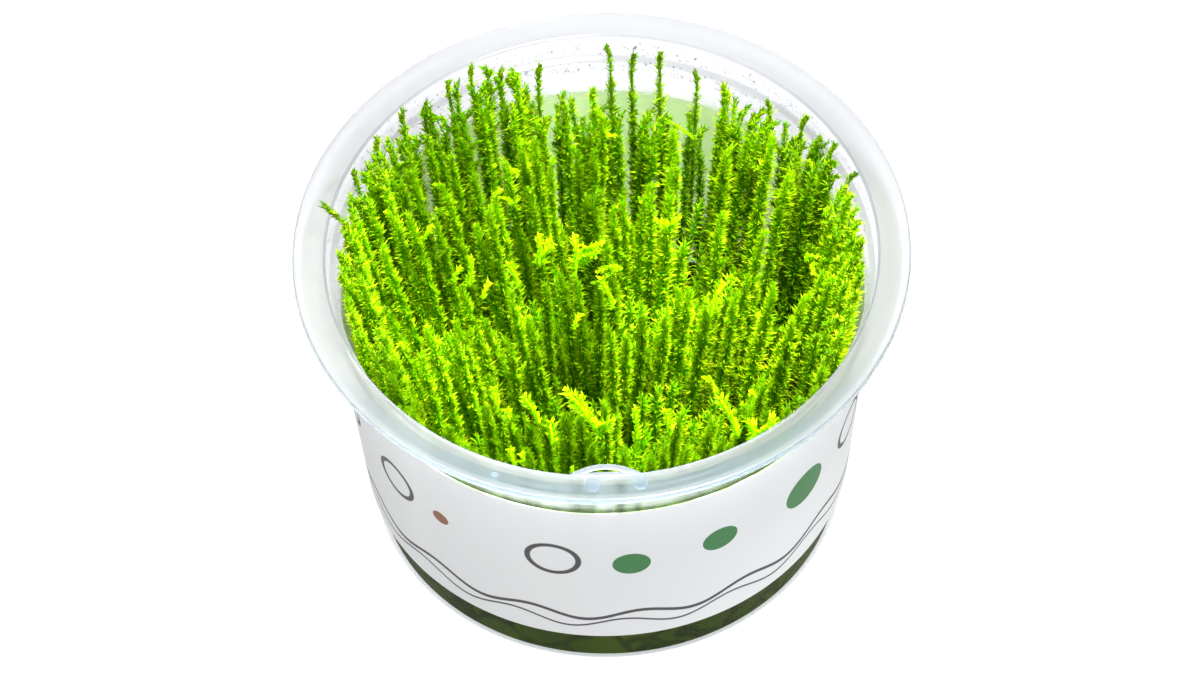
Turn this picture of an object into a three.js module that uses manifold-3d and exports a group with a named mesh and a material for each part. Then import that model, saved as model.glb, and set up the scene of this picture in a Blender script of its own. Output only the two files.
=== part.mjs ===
// Tissue culture spiky moss: a clear plastic cup with a wide flat flange, a label wrapped round
// its wall, a layer of growth gel on its floor and a dense stand of upright moss in it.
// Millimetres, +Z up. The origin is the centre of the cup's underside, and -Y is the front.

import * as THREE from 'three';
import Module from 'manifold-3d';
import { mergeVertices } from 'three/addons/utils/BufferGeometryUtils.js';

const wasm = await Module();
wasm.setup();

// Driving dimensions of the cup
const RIM_HEIGHT = 56.5;
const FLANGE_RADIUS = 47.5;
const FLANGE_THICKNESS = 1.2;
const MOUTH_RADIUS = 42.45;
const LEDGE_DEPTH = 4.1;
const WALL_RADIUS_AT_BASE = 36.5;
const WALL_RADIUS_AT_TOP = 41.75;
const WALL_TOP = 52.5;
const WALL_THICKNESS = 0.75;
const FLOOR_THICKNESS = 0.6;
const BASE_CORNER_RADIUS = 1.6;
const SHOULDER_BOTTOM = 47.5;
const SHOULDER = [[42.3, 50.0], [43.4, 52.6], [45.2, 54.6], [46.2, RIM_HEIGHT - FLANGE_THICKNESS]];
const RIM_EDGE_ROUNDING = 0.4;
const CUP_SIDES = 56;

// Driving dimensions of the lip and the nubs at the rim's front
const LIP_WIDTH = 11;
const LIP_REACH = 2.5;
const LIP_THICKNESS = 0.7;
const LIP_OFFSET = -0.6;
const SLIT_WIDTH = 6.5;
const SLIT_REACH = 0.55;
const NUB_PLACES = [-2.5, 4.8];
const NUB_DISTANCE = 44.4;
const NUB_HALF_SIZE = [1.15, 1.6, 0.5];

// Driving dimensions of what the cup carries
const GAP = 0.3;
const LABEL_BOTTOM = 8.4;
const LABEL_TOP = 45.0;
const LABEL_THICKNESS = 0.2;
const GEL_TOP = 9.5;
const GEL_DISH = 0.2;
const MOSS_ROOT = GEL_TOP + GAP;
const MOSS_SPREAD = 0.2;
const MOSS_SPREAD_HEIGHT = 46;
const TUFTS_IN_RING = [1, 6, 12, 18];
const TUFT_RING_EDGES = [0, 4.8, 14.2, 23.6, 34.2];
const STAND_RADIUS_BEHIND_SHOOTS = 33.3;
const TUFT_POINT_RADIUS = 1.25;
const TUFT_POINT_LENGTH = 9;
const CROWN_HEIGHT = 47.0;
const LEADER_RISE = 2.5;
const OUTER_LEADER_RISE = 5.0;
const HIGHEST_LEADER = 58.5;
const SHOOT_RADIUS = 0.6;
const SHOOT_ROOT_DISTANCE = 34.9;
const SHOOT_MOUTH_DISTANCE = 39.9;
const SHOOT_MOUTH_HEIGHT = 54;

const clearPlastic = new THREE.MeshStandardMaterial({
  color: '#e9eef0', roughness: 0.25, metalness: 0, transparent: true, opacity: 0.45,
});
const labelFilm = new THREE.MeshStandardMaterial({ color: '#e2e4e7', roughness: 0.6, metalness: 0 });
const growthGel = new THREE.MeshStandardMaterial({ color: '#5c6a35', roughness: 0.3, metalness: 0 });
const mossGreens = ['#5d9a10', '#6fae0a', '#4d860f', '#83bf12'];
const mossLeaf = mossGreens.map(
  (color) => new THREE.MeshStandardMaterial({ color, roughness: 0.8, metalness: 0 }),
);

const object = new THREE.Group();

function addPiece(name, geometry, material) {
  const mesh = new THREE.Mesh(geometry, material);
  mesh.name = name;
  object.add(mesh);
}

// Closed mesh of positions only, with its shared vertices merged
function welded(geometry) {
  const bare = geometry.clone();
  bare.deleteAttribute('normal');
  bare.deleteAttribute('uv');
  return mergeVertices(bare, 1e-4);
}

function toSolid(geometry) {
  const mesh = welded(geometry);
  return new wasm.Manifold(new wasm.Mesh({
    numProp: 3,
    vertProperties: new Float32Array(mesh.attributes.position.array),
    triVerts: new Uint32Array(mesh.index.array),
  }));
}

function toGeometry(solid) {
  const mesh = solid.getMesh();
  const geometry = new THREE.BufferGeometry();
  geometry.setAttribute('position', new THREE.BufferAttribute(mesh.vertProperties, 3));
  geometry.setIndex(new THREE.BufferAttribute(mesh.triVerts, 1));
  geometry.computeVertexNormals();
  return geometry;
}

// Solid of revolution about +Z from a list of [radius, height] pairs
function turned(profile, sides) {
  const points = profile.map(([radius, height]) => new THREE.Vector2(radius, height));
  const geometry = new THREE.LatheGeometry(points, sides);
  geometry.rotateX(Math.PI / 2);
  return welded(geometry);
}

// Radius of the wall's outer face at a height
function wallRadius(height) {
  const slope = (WALL_RADIUS_AT_TOP - WALL_RADIUS_AT_BASE) / WALL_TOP;
  return WALL_RADIUS_AT_BASE + slope * height;
}

// Points of a quarter turn from straight down to straight out, for a rounded bottom corner
function cornerPoints(centreRadius, centreHeight, radius, steps) {
  const points = [];
  for (let step = 0; step <= steps; step += 1) {
    const angle = (Math.PI / 2) * (step / steps);
    points.push([
      centreRadius + radius * Math.sin(angle),
      centreHeight - radius * Math.cos(angle),
    ]);
  }
  return points;
}

// Cup: floor, tapered wall, shoulder under the rim, flat flange, and the stacking ledge inside
function cupProfile() {
  const corner = BASE_CORNER_RADIUS;
  const innerCorner = corner - WALL_THICKNESS;
  const cornerCentre = wallRadius(corner) - corner;
  const ledge = RIM_HEIGHT - LEDGE_DEPTH;
  const underLedge = ledge - RIM_EDGE_ROUNDING;
  return [
    [0, 0],
    ...cornerPoints(cornerCentre, corner, corner, 3),
    [wallRadius(SHOULDER_BOTTOM), SHOULDER_BOTTOM],
    ...SHOULDER,
    [FLANGE_RADIUS, RIM_HEIGHT - FLANGE_THICKNESS],
    [FLANGE_RADIUS, RIM_HEIGHT - RIM_EDGE_ROUNDING],
    [FLANGE_RADIUS - RIM_EDGE_ROUNDING, RIM_HEIGHT],
    [MOUTH_RADIUS + 2 * RIM_EDGE_ROUNDING, RIM_HEIGHT],
    [MOUTH_RADIUS, RIM_HEIGHT - 2 * RIM_EDGE_ROUNDING],
    [MOUTH_RADIUS - RIM_EDGE_ROUNDING, ledge],
    [wallRadius(underLedge) - WALL_THICKNESS, underLedge],
    ...cornerPoints(
      cornerCentre, FLOOR_THICKNESS + innerCorner, innerCorner, 2,
    ).reverse(),
    [0, FLOOR_THICKNESS],
  ];
}

// Thin lip standing in from the rim's front edge, with a slit between it and the rim
function frontLip() {
  const rimLine = -MOUTH_RADIUS - RIM_EDGE_ROUNDING;
  const slitLine = -MOUTH_RADIUS + RIM_EDGE_ROUNDING;
  const lip = new THREE.Shape();
  lip.moveTo(-LIP_WIDTH / 2, rimLine);
  lip.lineTo(LIP_WIDTH / 2, rimLine);
  lip.quadraticCurveTo(0, rimLine + 2 * LIP_REACH, -LIP_WIDTH / 2, rimLine);
  const slit = new THREE.Path();
  slit.moveTo(-SLIT_WIDTH / 2, slitLine);
  slit.quadraticCurveTo(0, slitLine + 2 * SLIT_REACH, SLIT_WIDTH / 2, slitLine);
  slit.quadraticCurveTo(0, slitLine - 0.5 * SLIT_REACH, -SLIT_WIDTH / 2, slitLine);
  lip.holes.push(slit);
  const geometry = new THREE.ExtrudeGeometry(lip, {
    depth: LIP_THICKNESS, bevelEnabled: false, curveSegments: 8,
  });
  geometry.translate(LIP_OFFSET, 0, RIM_HEIGHT - LIP_THICKNESS);
  return toSolid(geometry);
}

// Two low nubs on the flange beside the lip
function flangeNubs() {
  const [first, second] = NUB_PLACES.map((side) => {
    const geometry = new THREE.SphereGeometry(1, 8, 6);
    geometry.scale(...NUB_HALF_SIZE);
    geometry.translate(side, -Math.sqrt(NUB_DISTANCE ** 2 - side ** 2), RIM_HEIGHT);
    return toSolid(geometry);
  });
  return first.add(second);
}

function buildCup() {
  const shell = toSolid(turned(cupProfile(), CUP_SIDES));
  addPiece('cup', toGeometry(shell.add(frontLip()).add(flangeNubs())), clearPlastic);
}

// Label: a thin sleeve round the wall
function buildLabel() {
  const inner = (height) => wallRadius(height) + GAP;
  const profile = [
    [inner(LABEL_BOTTOM), LABEL_BOTTOM],
    [inner(LABEL_BOTTOM) + LABEL_THICKNESS, LABEL_BOTTOM],
    [inner(LABEL_TOP) + LABEL_THICKNESS, LABEL_TOP],
    [inner(LABEL_TOP), LABEL_TOP],
    [inner(LABEL_BOTTOM), LABEL_BOTTOM],
  ];
  addPiece('label', turned(profile, CUP_SIDES), labelFilm);
}

// Growth gel: a disc on the floor that fills the cup from wall to wall
function buildGel() {
  const bottom = FLOOR_THICKNESS + GAP;
  const reach = (height) => wallRadius(height) - WALL_THICKNESS - GAP;
  const profile = [
    [0, bottom],
    [reach(bottom) - BASE_CORNER_RADIUS, bottom],
    [reach(bottom) - GAP, bottom + BASE_CORNER_RADIUS],
    [reach(GEL_TOP), GEL_TOP],
    [0, GEL_TOP - GEL_DISH],
  ];
  addPiece('growth_gel', turned(profile, CUP_SIDES), growthGel);
}

// How much the stand has spread from the cup's axis at a height
function spread(height) {
  return 1 + MOSS_SPREAD * (height - MOSS_ROOT) / MOSS_SPREAD_HEIGHT;
}

// Evenly spread fraction from 0 to 1 that depends only on its two whole-number keys
function jitter(key, salt) {
  return THREE.MathUtils.seededRandom(key * 7919 + salt * 104729);
}

// Outline of a tuft seen from above: a piece of a ring, half a gap in from its neighbours
function tuftOutline({ inner, outer, start, end }) {
  const margin = GAP * 0.65;
  const low = inner + margin;
  const high = outer - margin;
  const outline = new THREE.Shape();
  if (inner === 0) {
    outline.absarc(0, 0, high, 0, 2 * Math.PI, false);
    return outline;
  }
  outline.absarc(0, 0, high, start + margin / high, end - margin / high, false);
  outline.absarc(0, 0, low, end - margin / low, start + margin / low, true);
  return outline;
}

// Packed lower part of a tuft, up to where its points come apart
function tuftBody(cell, topHeight) {
  const geometry = new THREE.ExtrudeGeometry(tuftOutline(cell), {
    depth: topHeight - MOSS_ROOT, bevelEnabled: false, curveSegments: cell.inner === 0 ? 8 : 3,
  });
  geometry.translate(0, 0, MOSS_ROOT);
  return toSolid(geometry);
}

// One point of a tuft, from inside its body up to a tip
function tuftPoint(place, footHeight, tipHeight) {
  const geometry = turned([[0, footHeight], [TUFT_POINT_RADIUS, footHeight], [0, tipHeight]], 5);
  geometry.translate(place.x, place.y, 0);
  return toSolid(geometry);
}

// Places of a tuft's points: its middle, then two rows of two, or four round the middle tuft
function pointPlaces({ inner, outer, start, end }, key) {
  const places = [];
  const at = (distance, angle) => {
    places.push(new THREE.Vector2(distance * Math.cos(angle), distance * Math.sin(angle)));
  };
  if (inner === 0) {
    at(0, 0);
    [0.2, 1.8, 3.3, 4.9].forEach((angle) => at(outer * 0.6, angle));
    return places;
  }
  at((inner + outer) / 2, (start + end) / 2);
  [[0.22, 0.22], [0.22, 0.78], [0.78, 0.22], [0.78, 0.78]].forEach(([across, along], index) => {
    const shift = 0.1 * (jitter(key, 11 + index) - 0.5);
    at(inner + (outer - inner) * across, start + (end - start) * (along + shift));
  });
  return places;
}

// Height of the stand's crown: taller at the sides and a little at the left, lower at the back
function crownHeight(x, y) {
  return CROWN_HEIGHT + 9 * (x / 34) ** 2 - 0.04 * x - 0.12 * Math.max(0, y);
}

// Tuft: a packed body whose tall middle point and four lower ones stand apart at the top
function tuftGeometry(cell, key) {
  const places = pointPlaces(cell, key);
  const crown = crownHeight(places[0].x, places[0].y) + 5 * (jitter(key, 1) - 0.5);
  const bodyTop = crown - TUFT_POINT_LENGTH;
  const foot = bodyTop - 3;
  const isOuter = cell.inner === TUFT_RING_EDGES[3];
  const leader = Math.min(crown + (isOuter ? OUTER_LEADER_RISE : LEADER_RISE), HIGHEST_LEADER);
  let solid = tuftBody(cell, bodyTop);
  places.forEach((place, index) => {
    const tip = index === 0 ? leader : crown + 1.5 - 6 * jitter(key, 3 + index);
    solid = solid.add(tuftPoint(place, foot, tip));
  });
  return toGeometry(solid);
}

// Leans every point of a piece away from the cup's axis, more the higher it is
function fanOut(geometry) {
  const place = geometry.attributes.position;
  for (let index = 0; index < place.count; index += 1) {
    const factor = spread(place.getZ(index));
    place.setXY(index, place.getX(index) * factor, place.getY(index) * factor);
  }
  geometry.computeVertexNormals();
  return geometry;
}

// Rings of tufts round a middle one, a little narrower where the tall shoots stand behind them
function buildTufts() {
  let key = 0;
  TUFTS_IN_RING.forEach((count, ring) => {
    for (let index = 0; index < count; index += 1) {
      key += 1;
      const start = 2 * Math.PI * (index - 0.5 + 0.5 * (ring % 2)) / count;
      const end = start + 2 * Math.PI / count;
      const isBehind = ring === 3 && Math.sin((start + end) / 2) > -0.1;
      const outer = isBehind ? STAND_RADIUS_BEHIND_SHOOTS : TUFT_RING_EDGES[ring + 1];
      const geometry = tuftGeometry({ inner: TUFT_RING_EDGES[ring], outer, start, end }, key);
      const name = `moss_tuft_${String(key).padStart(2, '0')}`;
      addPiece(name, fanOut(geometry), mossLeaf[key % mossLeaf.length]);
    }
  });
}

// Tall single shoots between the tufts and the wall, as [bearing in degrees from +X,
// distance of the tip from the axis, height of the tip], left round the back to the right
const TALL_SHOOTS = [
  [167, 44.5, 59.5],
  [156, 41.5, 59],
  [146, 41, 59.5],
  [137, 41, 59.5],
  [130, 40.5, 57.5],
  [124, 40.5, 59],
  [118, 40.5, 59.8],
  [111, 40.2, 56.5],
  [102, 40, 55],
  [88, 40.5, 57.5],
  [81, 40, 56],
  [75, 40, 57.5],
  [68, 40, 55],
  [61, 39.9, 53.5],
  [49, 40.2, 55.5],
  [37, 41, 58],
  [27, 41.5, 58.5],
  [17, 42, 59],
];

// Distance of a tall shoot's middle line from the cup's axis at a height: straight beside the
// wall up to the mouth, then curving to the tip's distance
function shootDistance(height, tipDistance, tipHeight) {
  const straight = (at) => THREE.MathUtils.mapLinear(
    at, MOSS_ROOT, SHOOT_MOUTH_HEIGHT, SHOOT_ROOT_DISTANCE, SHOOT_MOUTH_DISTANCE,
  );
  if (height <= SHOOT_MOUTH_HEIGHT) {
    return straight(height);
  }
  const rise = (height - SHOOT_MOUTH_HEIGHT) / (tipHeight - SHOOT_MOUTH_HEIGHT);
  return straight(height) + (tipDistance - straight(tipHeight)) * rise ** 2;
}

function shootGeometry(bearing, tipDistance, tipHeight) {
  const profile = [[0, MOSS_ROOT], [SHOOT_RADIUS, MOSS_ROOT]];
  const bends = [0.45, 0.9];
  bends.forEach((part) => {
    profile.push([SHOOT_RADIUS, MOSS_ROOT + part * (tipHeight - MOSS_ROOT)]);
  });
  profile.push([0, tipHeight]);
  const geometry = turned(profile, 5);
  const place = geometry.attributes.position;
  for (let index = 0; index < place.count; index += 1) {
    const distance = shootDistance(place.getZ(index), tipDistance, tipHeight);
    place.setX(index, place.getX(index) + distance);
  }
  geometry.rotateZ(THREE.MathUtils.degToRad(bearing));
  geometry.computeVertexNormals();
  return geometry;
}

function buildShoots() {
  TALL_SHOOTS.forEach(([bearing, tipDistance, tipHeight], index) => {
    const geometry = shootGeometry(bearing, tipDistance, tipHeight);
    const name = `moss_shoot_${String(index + 1).padStart(2, '0')}`;
    addPiece(name, geometry, mossLeaf[index % mossLeaf.length]);
  });
}

buildCup();
buildLabel();
buildGel();
buildTufts();
buildShoots();

export default object;
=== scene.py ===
"""Looks of a clear plastic tissue culture cup of spiky moss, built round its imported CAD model.

The cup is thin injection-moulded polypropylene with a wide flat flange. A printed film label is
wrapped round its wall, olive growth gel lies on its floor, and upright leafy moss shoots stand in
the gel. Sizes are in millimetres in the classes and become metres when a mesh is finished. The
front of the cup looks down -Y, so depths grow to the back.
"""

import logging
import math
from collections.abc import Callable, Iterable
from dataclasses import dataclass, field, replace
from enum import Enum
from typing import Any

import bmesh
import bpy
import numpy as np
from mathutils import Matrix, Vector, noise

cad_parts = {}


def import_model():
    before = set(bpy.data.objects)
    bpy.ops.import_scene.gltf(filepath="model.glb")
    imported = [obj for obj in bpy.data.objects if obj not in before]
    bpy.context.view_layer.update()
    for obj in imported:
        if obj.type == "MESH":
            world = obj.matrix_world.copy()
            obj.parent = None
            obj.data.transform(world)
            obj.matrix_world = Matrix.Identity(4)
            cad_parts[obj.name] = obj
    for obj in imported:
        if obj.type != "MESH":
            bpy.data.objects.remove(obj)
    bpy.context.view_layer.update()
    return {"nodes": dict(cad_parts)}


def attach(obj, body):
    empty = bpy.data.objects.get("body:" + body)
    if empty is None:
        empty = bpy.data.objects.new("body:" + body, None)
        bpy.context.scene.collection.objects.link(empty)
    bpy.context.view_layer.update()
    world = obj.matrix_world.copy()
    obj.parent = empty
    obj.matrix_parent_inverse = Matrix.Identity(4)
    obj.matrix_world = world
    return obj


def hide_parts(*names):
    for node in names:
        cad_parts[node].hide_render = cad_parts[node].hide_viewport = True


LOG = logging.getLogger("spiky_moss_cup")
MM = 0.001
ROOT_BODY = "root"
# A full turn in radians, to two places, for random bearings
ANY_TURN = 6.28
# Values that each point of a shoot carries for its finish
SHOOT_MARKS = ("tint", "along", "blade", "bud")
Point = tuple[float, float, float]
Span = tuple[float, float]
Profile = list[tuple[float, float]]
Frame = tuple[np.ndarray, np.ndarray, np.ndarray, np.ndarray]
Array = np.ndarray
Random = np.random.Generator
BMesh = bmesh.types.BMesh
Object = bpy.types.Object
Material = bpy.types.Material
Node = bpy.types.Node
Socket = bpy.types.NodeSocket
Tree = bpy.types.NodeTree


# Small helpers for colours, nodes and meshes


def linear(colour: str) -> tuple[float, float, float, float]:
    """Turn an sRGB hex colour into linear light.

    Args:
        colour: Six hex digits after a hash, as in "#86d000".

    Returns:
        Red, green, blue and an alpha of 1.
    """
    values = [int(colour[place:place + 2], 16) / 255 for place in (1, 3, 5)]
    red, green, blue = (
        value / 12.92 if value <= 0.04045 else ((value + 0.055) / 1.055) ** 2.4
        for value in values
    )
    return (red, green, blue, 1.0)


def add_node(
    tree: Tree,
    kind: str,
    settings: dict[str, Any] | None = None,
    inputs: dict[str | int, Any] | None = None,
) -> Node:
    """Add one node with its settings, its values and its links.

    Args:
        tree: The node tree that takes the node.
        kind: The node's type name in Blender.
        settings: Attributes of the node, such as the operation of a Math node.
        inputs: A value or an output socket for each input, by its name or its number.

    Returns:
        The new node.
    """
    node = tree.nodes.new(kind)
    for name, value in (settings or {}).items():
        setattr(node, name, value)
    for name, value in (inputs or {}).items():
        if isinstance(value, Socket):
            tree.links.new(value, node.inputs[name])
        else:
            node.inputs[name].default_value = value
    return node


def colour_ramp(tree: Tree, value: Socket, stops: Iterable[tuple[float, str]]) -> Socket:
    """Turn a value into a colour.

    Args:
        tree: The node tree.
        value: The value's socket.
        stops: The place and the sRGB hex colour of each stop, in order.

    Returns:
        The colour's socket.
    """
    node = add_node(tree, "ShaderNodeValToRGB", {}, {0: value})
    elements = node.color_ramp.elements
    places = list(stops)
    while len(elements) < len(places):
        elements.new(1.0)
    for element, (place, colour) in zip(elements, places):
        element.position = place
        element.color = linear(colour)
    return node.outputs[0]


def new_material(name: str) -> tuple[Material, Tree]:
    """Make an empty node material and give it with its node tree."""
    material = bpy.data.materials.new(name)
    material.use_nodes = True
    material.node_tree.nodes.clear()
    return material, material.node_tree


def with_surface(material: Material, shader: Node) -> Material:
    """Give a material its finished surface, and give the material back."""
    surface = {"Surface": shader.outputs[0]}
    add_node(material.node_tree, "ShaderNodeOutputMaterial", {}, surface)
    return material


def millimetre_coordinates(tree: Tree) -> Socket:
    """Give a socket with the object coordinates in millimetres."""
    coordinates = add_node(tree, "ShaderNodeTexCoord")
    scaled = add_node(
        tree, "ShaderNodeVectorMath", {"operation": "SCALE"},
        {0: coordinates.outputs["Object"], "Scale": 1 / MM},
    )
    return scaled.outputs[0]


def level_part(tree: Tree, vector: Socket) -> Socket:
    """Give a vector without its height."""
    node = add_node(
        tree, "ShaderNodeVectorMath", {"operation": "MULTIPLY"}, {0: vector, 1: (1.0, 1.0, 0.0)},
    )
    return node.outputs[0]


def parts_of(tree: Tree, vector: Socket) -> tuple[Socket, Socket, Socket]:
    """Give the X, Y and Z of a vector."""
    node = add_node(tree, "ShaderNodeSeparateXYZ", {}, {0: vector})
    return node.outputs["X"], node.outputs["Y"], node.outputs["Z"]


def math_of(tree: Tree, operation: str, *values: Any, clamp: bool = False) -> Socket:
    """Add a Math node and give its result.

    Args:
        tree: The node tree.
        operation: The Math node's operation.
        values: Numbers or sockets, in order.
        clamp: Whether the result is kept between 0 and 1.

    Returns:
        The result's socket.
    """
    settings = {"operation": operation, "use_clamp": clamp}
    return add_node(tree, "ShaderNodeMath", settings, dict(enumerate(values))).outputs[0]


def product(tree: Tree, first: Any, second: Any, *rest: Any) -> Socket:
    """Multiply two or more values."""
    result = math_of(tree, "MULTIPLY", first, second)
    return product(tree, result, *rest) if rest else result


def distance_from(tree: Tree, value: Socket, middle: float) -> Socket:
    """Give how far a value lies from a middle, on either side."""
    return math_of(tree, "ABSOLUTE", math_of(tree, "SUBTRACT", value, middle))


def map_range(
    tree: Tree, value: Socket, source: Span = (0.0, 1.0), result: Span = (0.0, 1.0),
    smooth: bool = False,
) -> Socket:
    """Turn one range of a value into another, and keep the result within that.

    Args:
        tree: The node tree.
        value: The value's socket.
        source: Where the change starts and where it ends.
        result: What the value becomes at its start and at its end.
        smooth: Whether the change is eased at both ends.

    Returns:
        The result's socket.
    """
    node = add_node(
        tree, "ShaderNodeMapRange", {"interpolation_type": "SMOOTHSTEP" if smooth else "LINEAR"}, {
            "Value": value, "From Min": source[0], "From Max": source[1], "To Min": result[0],
            "To Max": result[1],
        },
    )
    return node.outputs[0]


def noise_texture(
    tree: Tree, place: Socket, scale: float, detail: float, roughness: float = 0.5
) -> Node:
    """Add a noise texture with a number of waves a millimetre, octaves and their share."""
    return add_node(
        tree, "ShaderNodeTexNoise", {},
        {"Vector": place, "Scale": scale, "Detail": detail, "Roughness": roughness},
    )


def bump_normal(tree: Tree, height: Socket, strength: float, depth: float) -> Socket:
    """Give the normals of a surface with bumps of a depth in millimetres."""
    values = {"Height": height, "Strength": strength, "Distance": depth * MM}
    return add_node(tree, "ShaderNodeBump", {}, values).outputs[0]


def mix_colours(tree: Tree, share: Any, first: Any, second: Any) -> Socket:
    """Mix two colours.

    Args:
        tree: The node tree.
        share: How much of the second colour, as a number or socket.
        first: A socket or an sRGB hex colour.
        second: A socket or an sRGB hex colour.

    Returns:
        The mixed colour's socket.
    """
    colours = [linear(c) if isinstance(c, str) else c for c in (first, second)]
    node = add_node(
        tree, "ShaderNodeMix", {"data_type": "RGBA"}, {0: share, 6: colours[0], 7: colours[1]}
    )
    return node.outputs[2]


def mix_shaders(tree: Tree, share: Any, first: Node, second: Node) -> Node:
    """Mix two shaders, with the second's share as a number or socket."""
    shaders = {0: share, 1: first.outputs[0], 2: second.outputs[0]}
    return add_node(tree, "ShaderNodeMixShader", {}, shaders)


def translucent(tree: Tree, colour: Socket) -> Node:
    """Add a shader that lets light through scattered."""
    return add_node(tree, "ShaderNodeBsdfTranslucent", {}, {"Color": colour})


def finished_object(name: str, bm: BMesh, material: Material, smooth_angle: float | None) -> Object:
    """Turn a mesh in millimetres into a finished object at the origin.

    Args:
        name: The object's name.
        bm: The mesh, which is freed.
        material: The object's material.
        smooth_angle: Faces that meet at less than this many degrees are shaded as one, or None
            for flat faces.

    Returns:
        The object, linked to the scene.
    """
    bmesh.ops.scale(bm, vec=(MM, MM, MM), verts=bm.verts)
    mesh = bpy.data.meshes.new(name)
    bm.to_mesh(mesh)
    bm.free()
    if smooth_angle is not None:
        mesh.shade_smooth()
        mesh.set_sharp_from_angle(angle=math.radians(smooth_angle))
    return linked_object(name, mesh, material)


def linked_object(name: str, mesh: bpy.types.Mesh, material: Material) -> Object:
    """Dress a mesh and link it to the scene as an object."""
    mesh.materials.append(material)
    piece = bpy.data.objects.new(name, mesh)
    bpy.context.scene.collection.objects.link(piece)
    return piece


def hand_over(piece: Object, nodes: Iterable[str] = ()) -> None:
    """Let a piece ride on the cup's body and stand for its CAD nodes.

    Args:
        piece: The finished piece.
        nodes: The CAD nodes that the piece stands for.
    """
    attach(piece, ROOT_BODY)
    names = list(nodes)
    if names:
        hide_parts(*names)
    triangles = sum(len(face.vertices) - 2 for face in piece.data.polygons)
    LOG.info("%s: %d triangles, stands for %s", piece.name, triangles, names or "no node")


def turned(profile: Profile, steps: int, rounded: dict[int, float] | None = None) -> BMesh:
    """Spin a closed or axis-to-axis profile once round +Z.

    Args:
        profile: Radius and height of each point.
        steps: Number of steps round the axis.
        rounded: The rounding radius of single profile points, by their place in the profile.

    Returns:
        A closed mesh whose faces point outwards.
    """
    bm = bmesh.new()
    points = [bm.verts.new((radius, 0.0, height)) for radius, height in profile]
    for start, end in zip(points, points[1:]):
        bm.edges.new((start, end))
    if profile[0][0] > 0.0:
        bm.edges.new((points[-1], points[0]))
    for place, radius in (rounded or {}).items():
        bmesh.ops.bevel(
            bm, geom=[points[place]], offset=radius, offset_type="OFFSET", segments=4,
            profile=0.5, affect="VERTICES", material=-1,
        )
    bmesh.ops.spin(
        bm, geom=bm.verts[:] + bm.edges[:], cent=(0, 0, 0), axis=(0, 0, 1), dvec=(0, 0, 0),
        angle=2 * math.pi, steps=steps, use_merge=True, use_duplicate=False,
    )
    bmesh.ops.remove_doubles(bm, verts=bm.verts, dist=1e-4)
    bmesh.ops.recalc_face_normals(bm, faces=bm.faces)
    return bm


# Finishes


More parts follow.
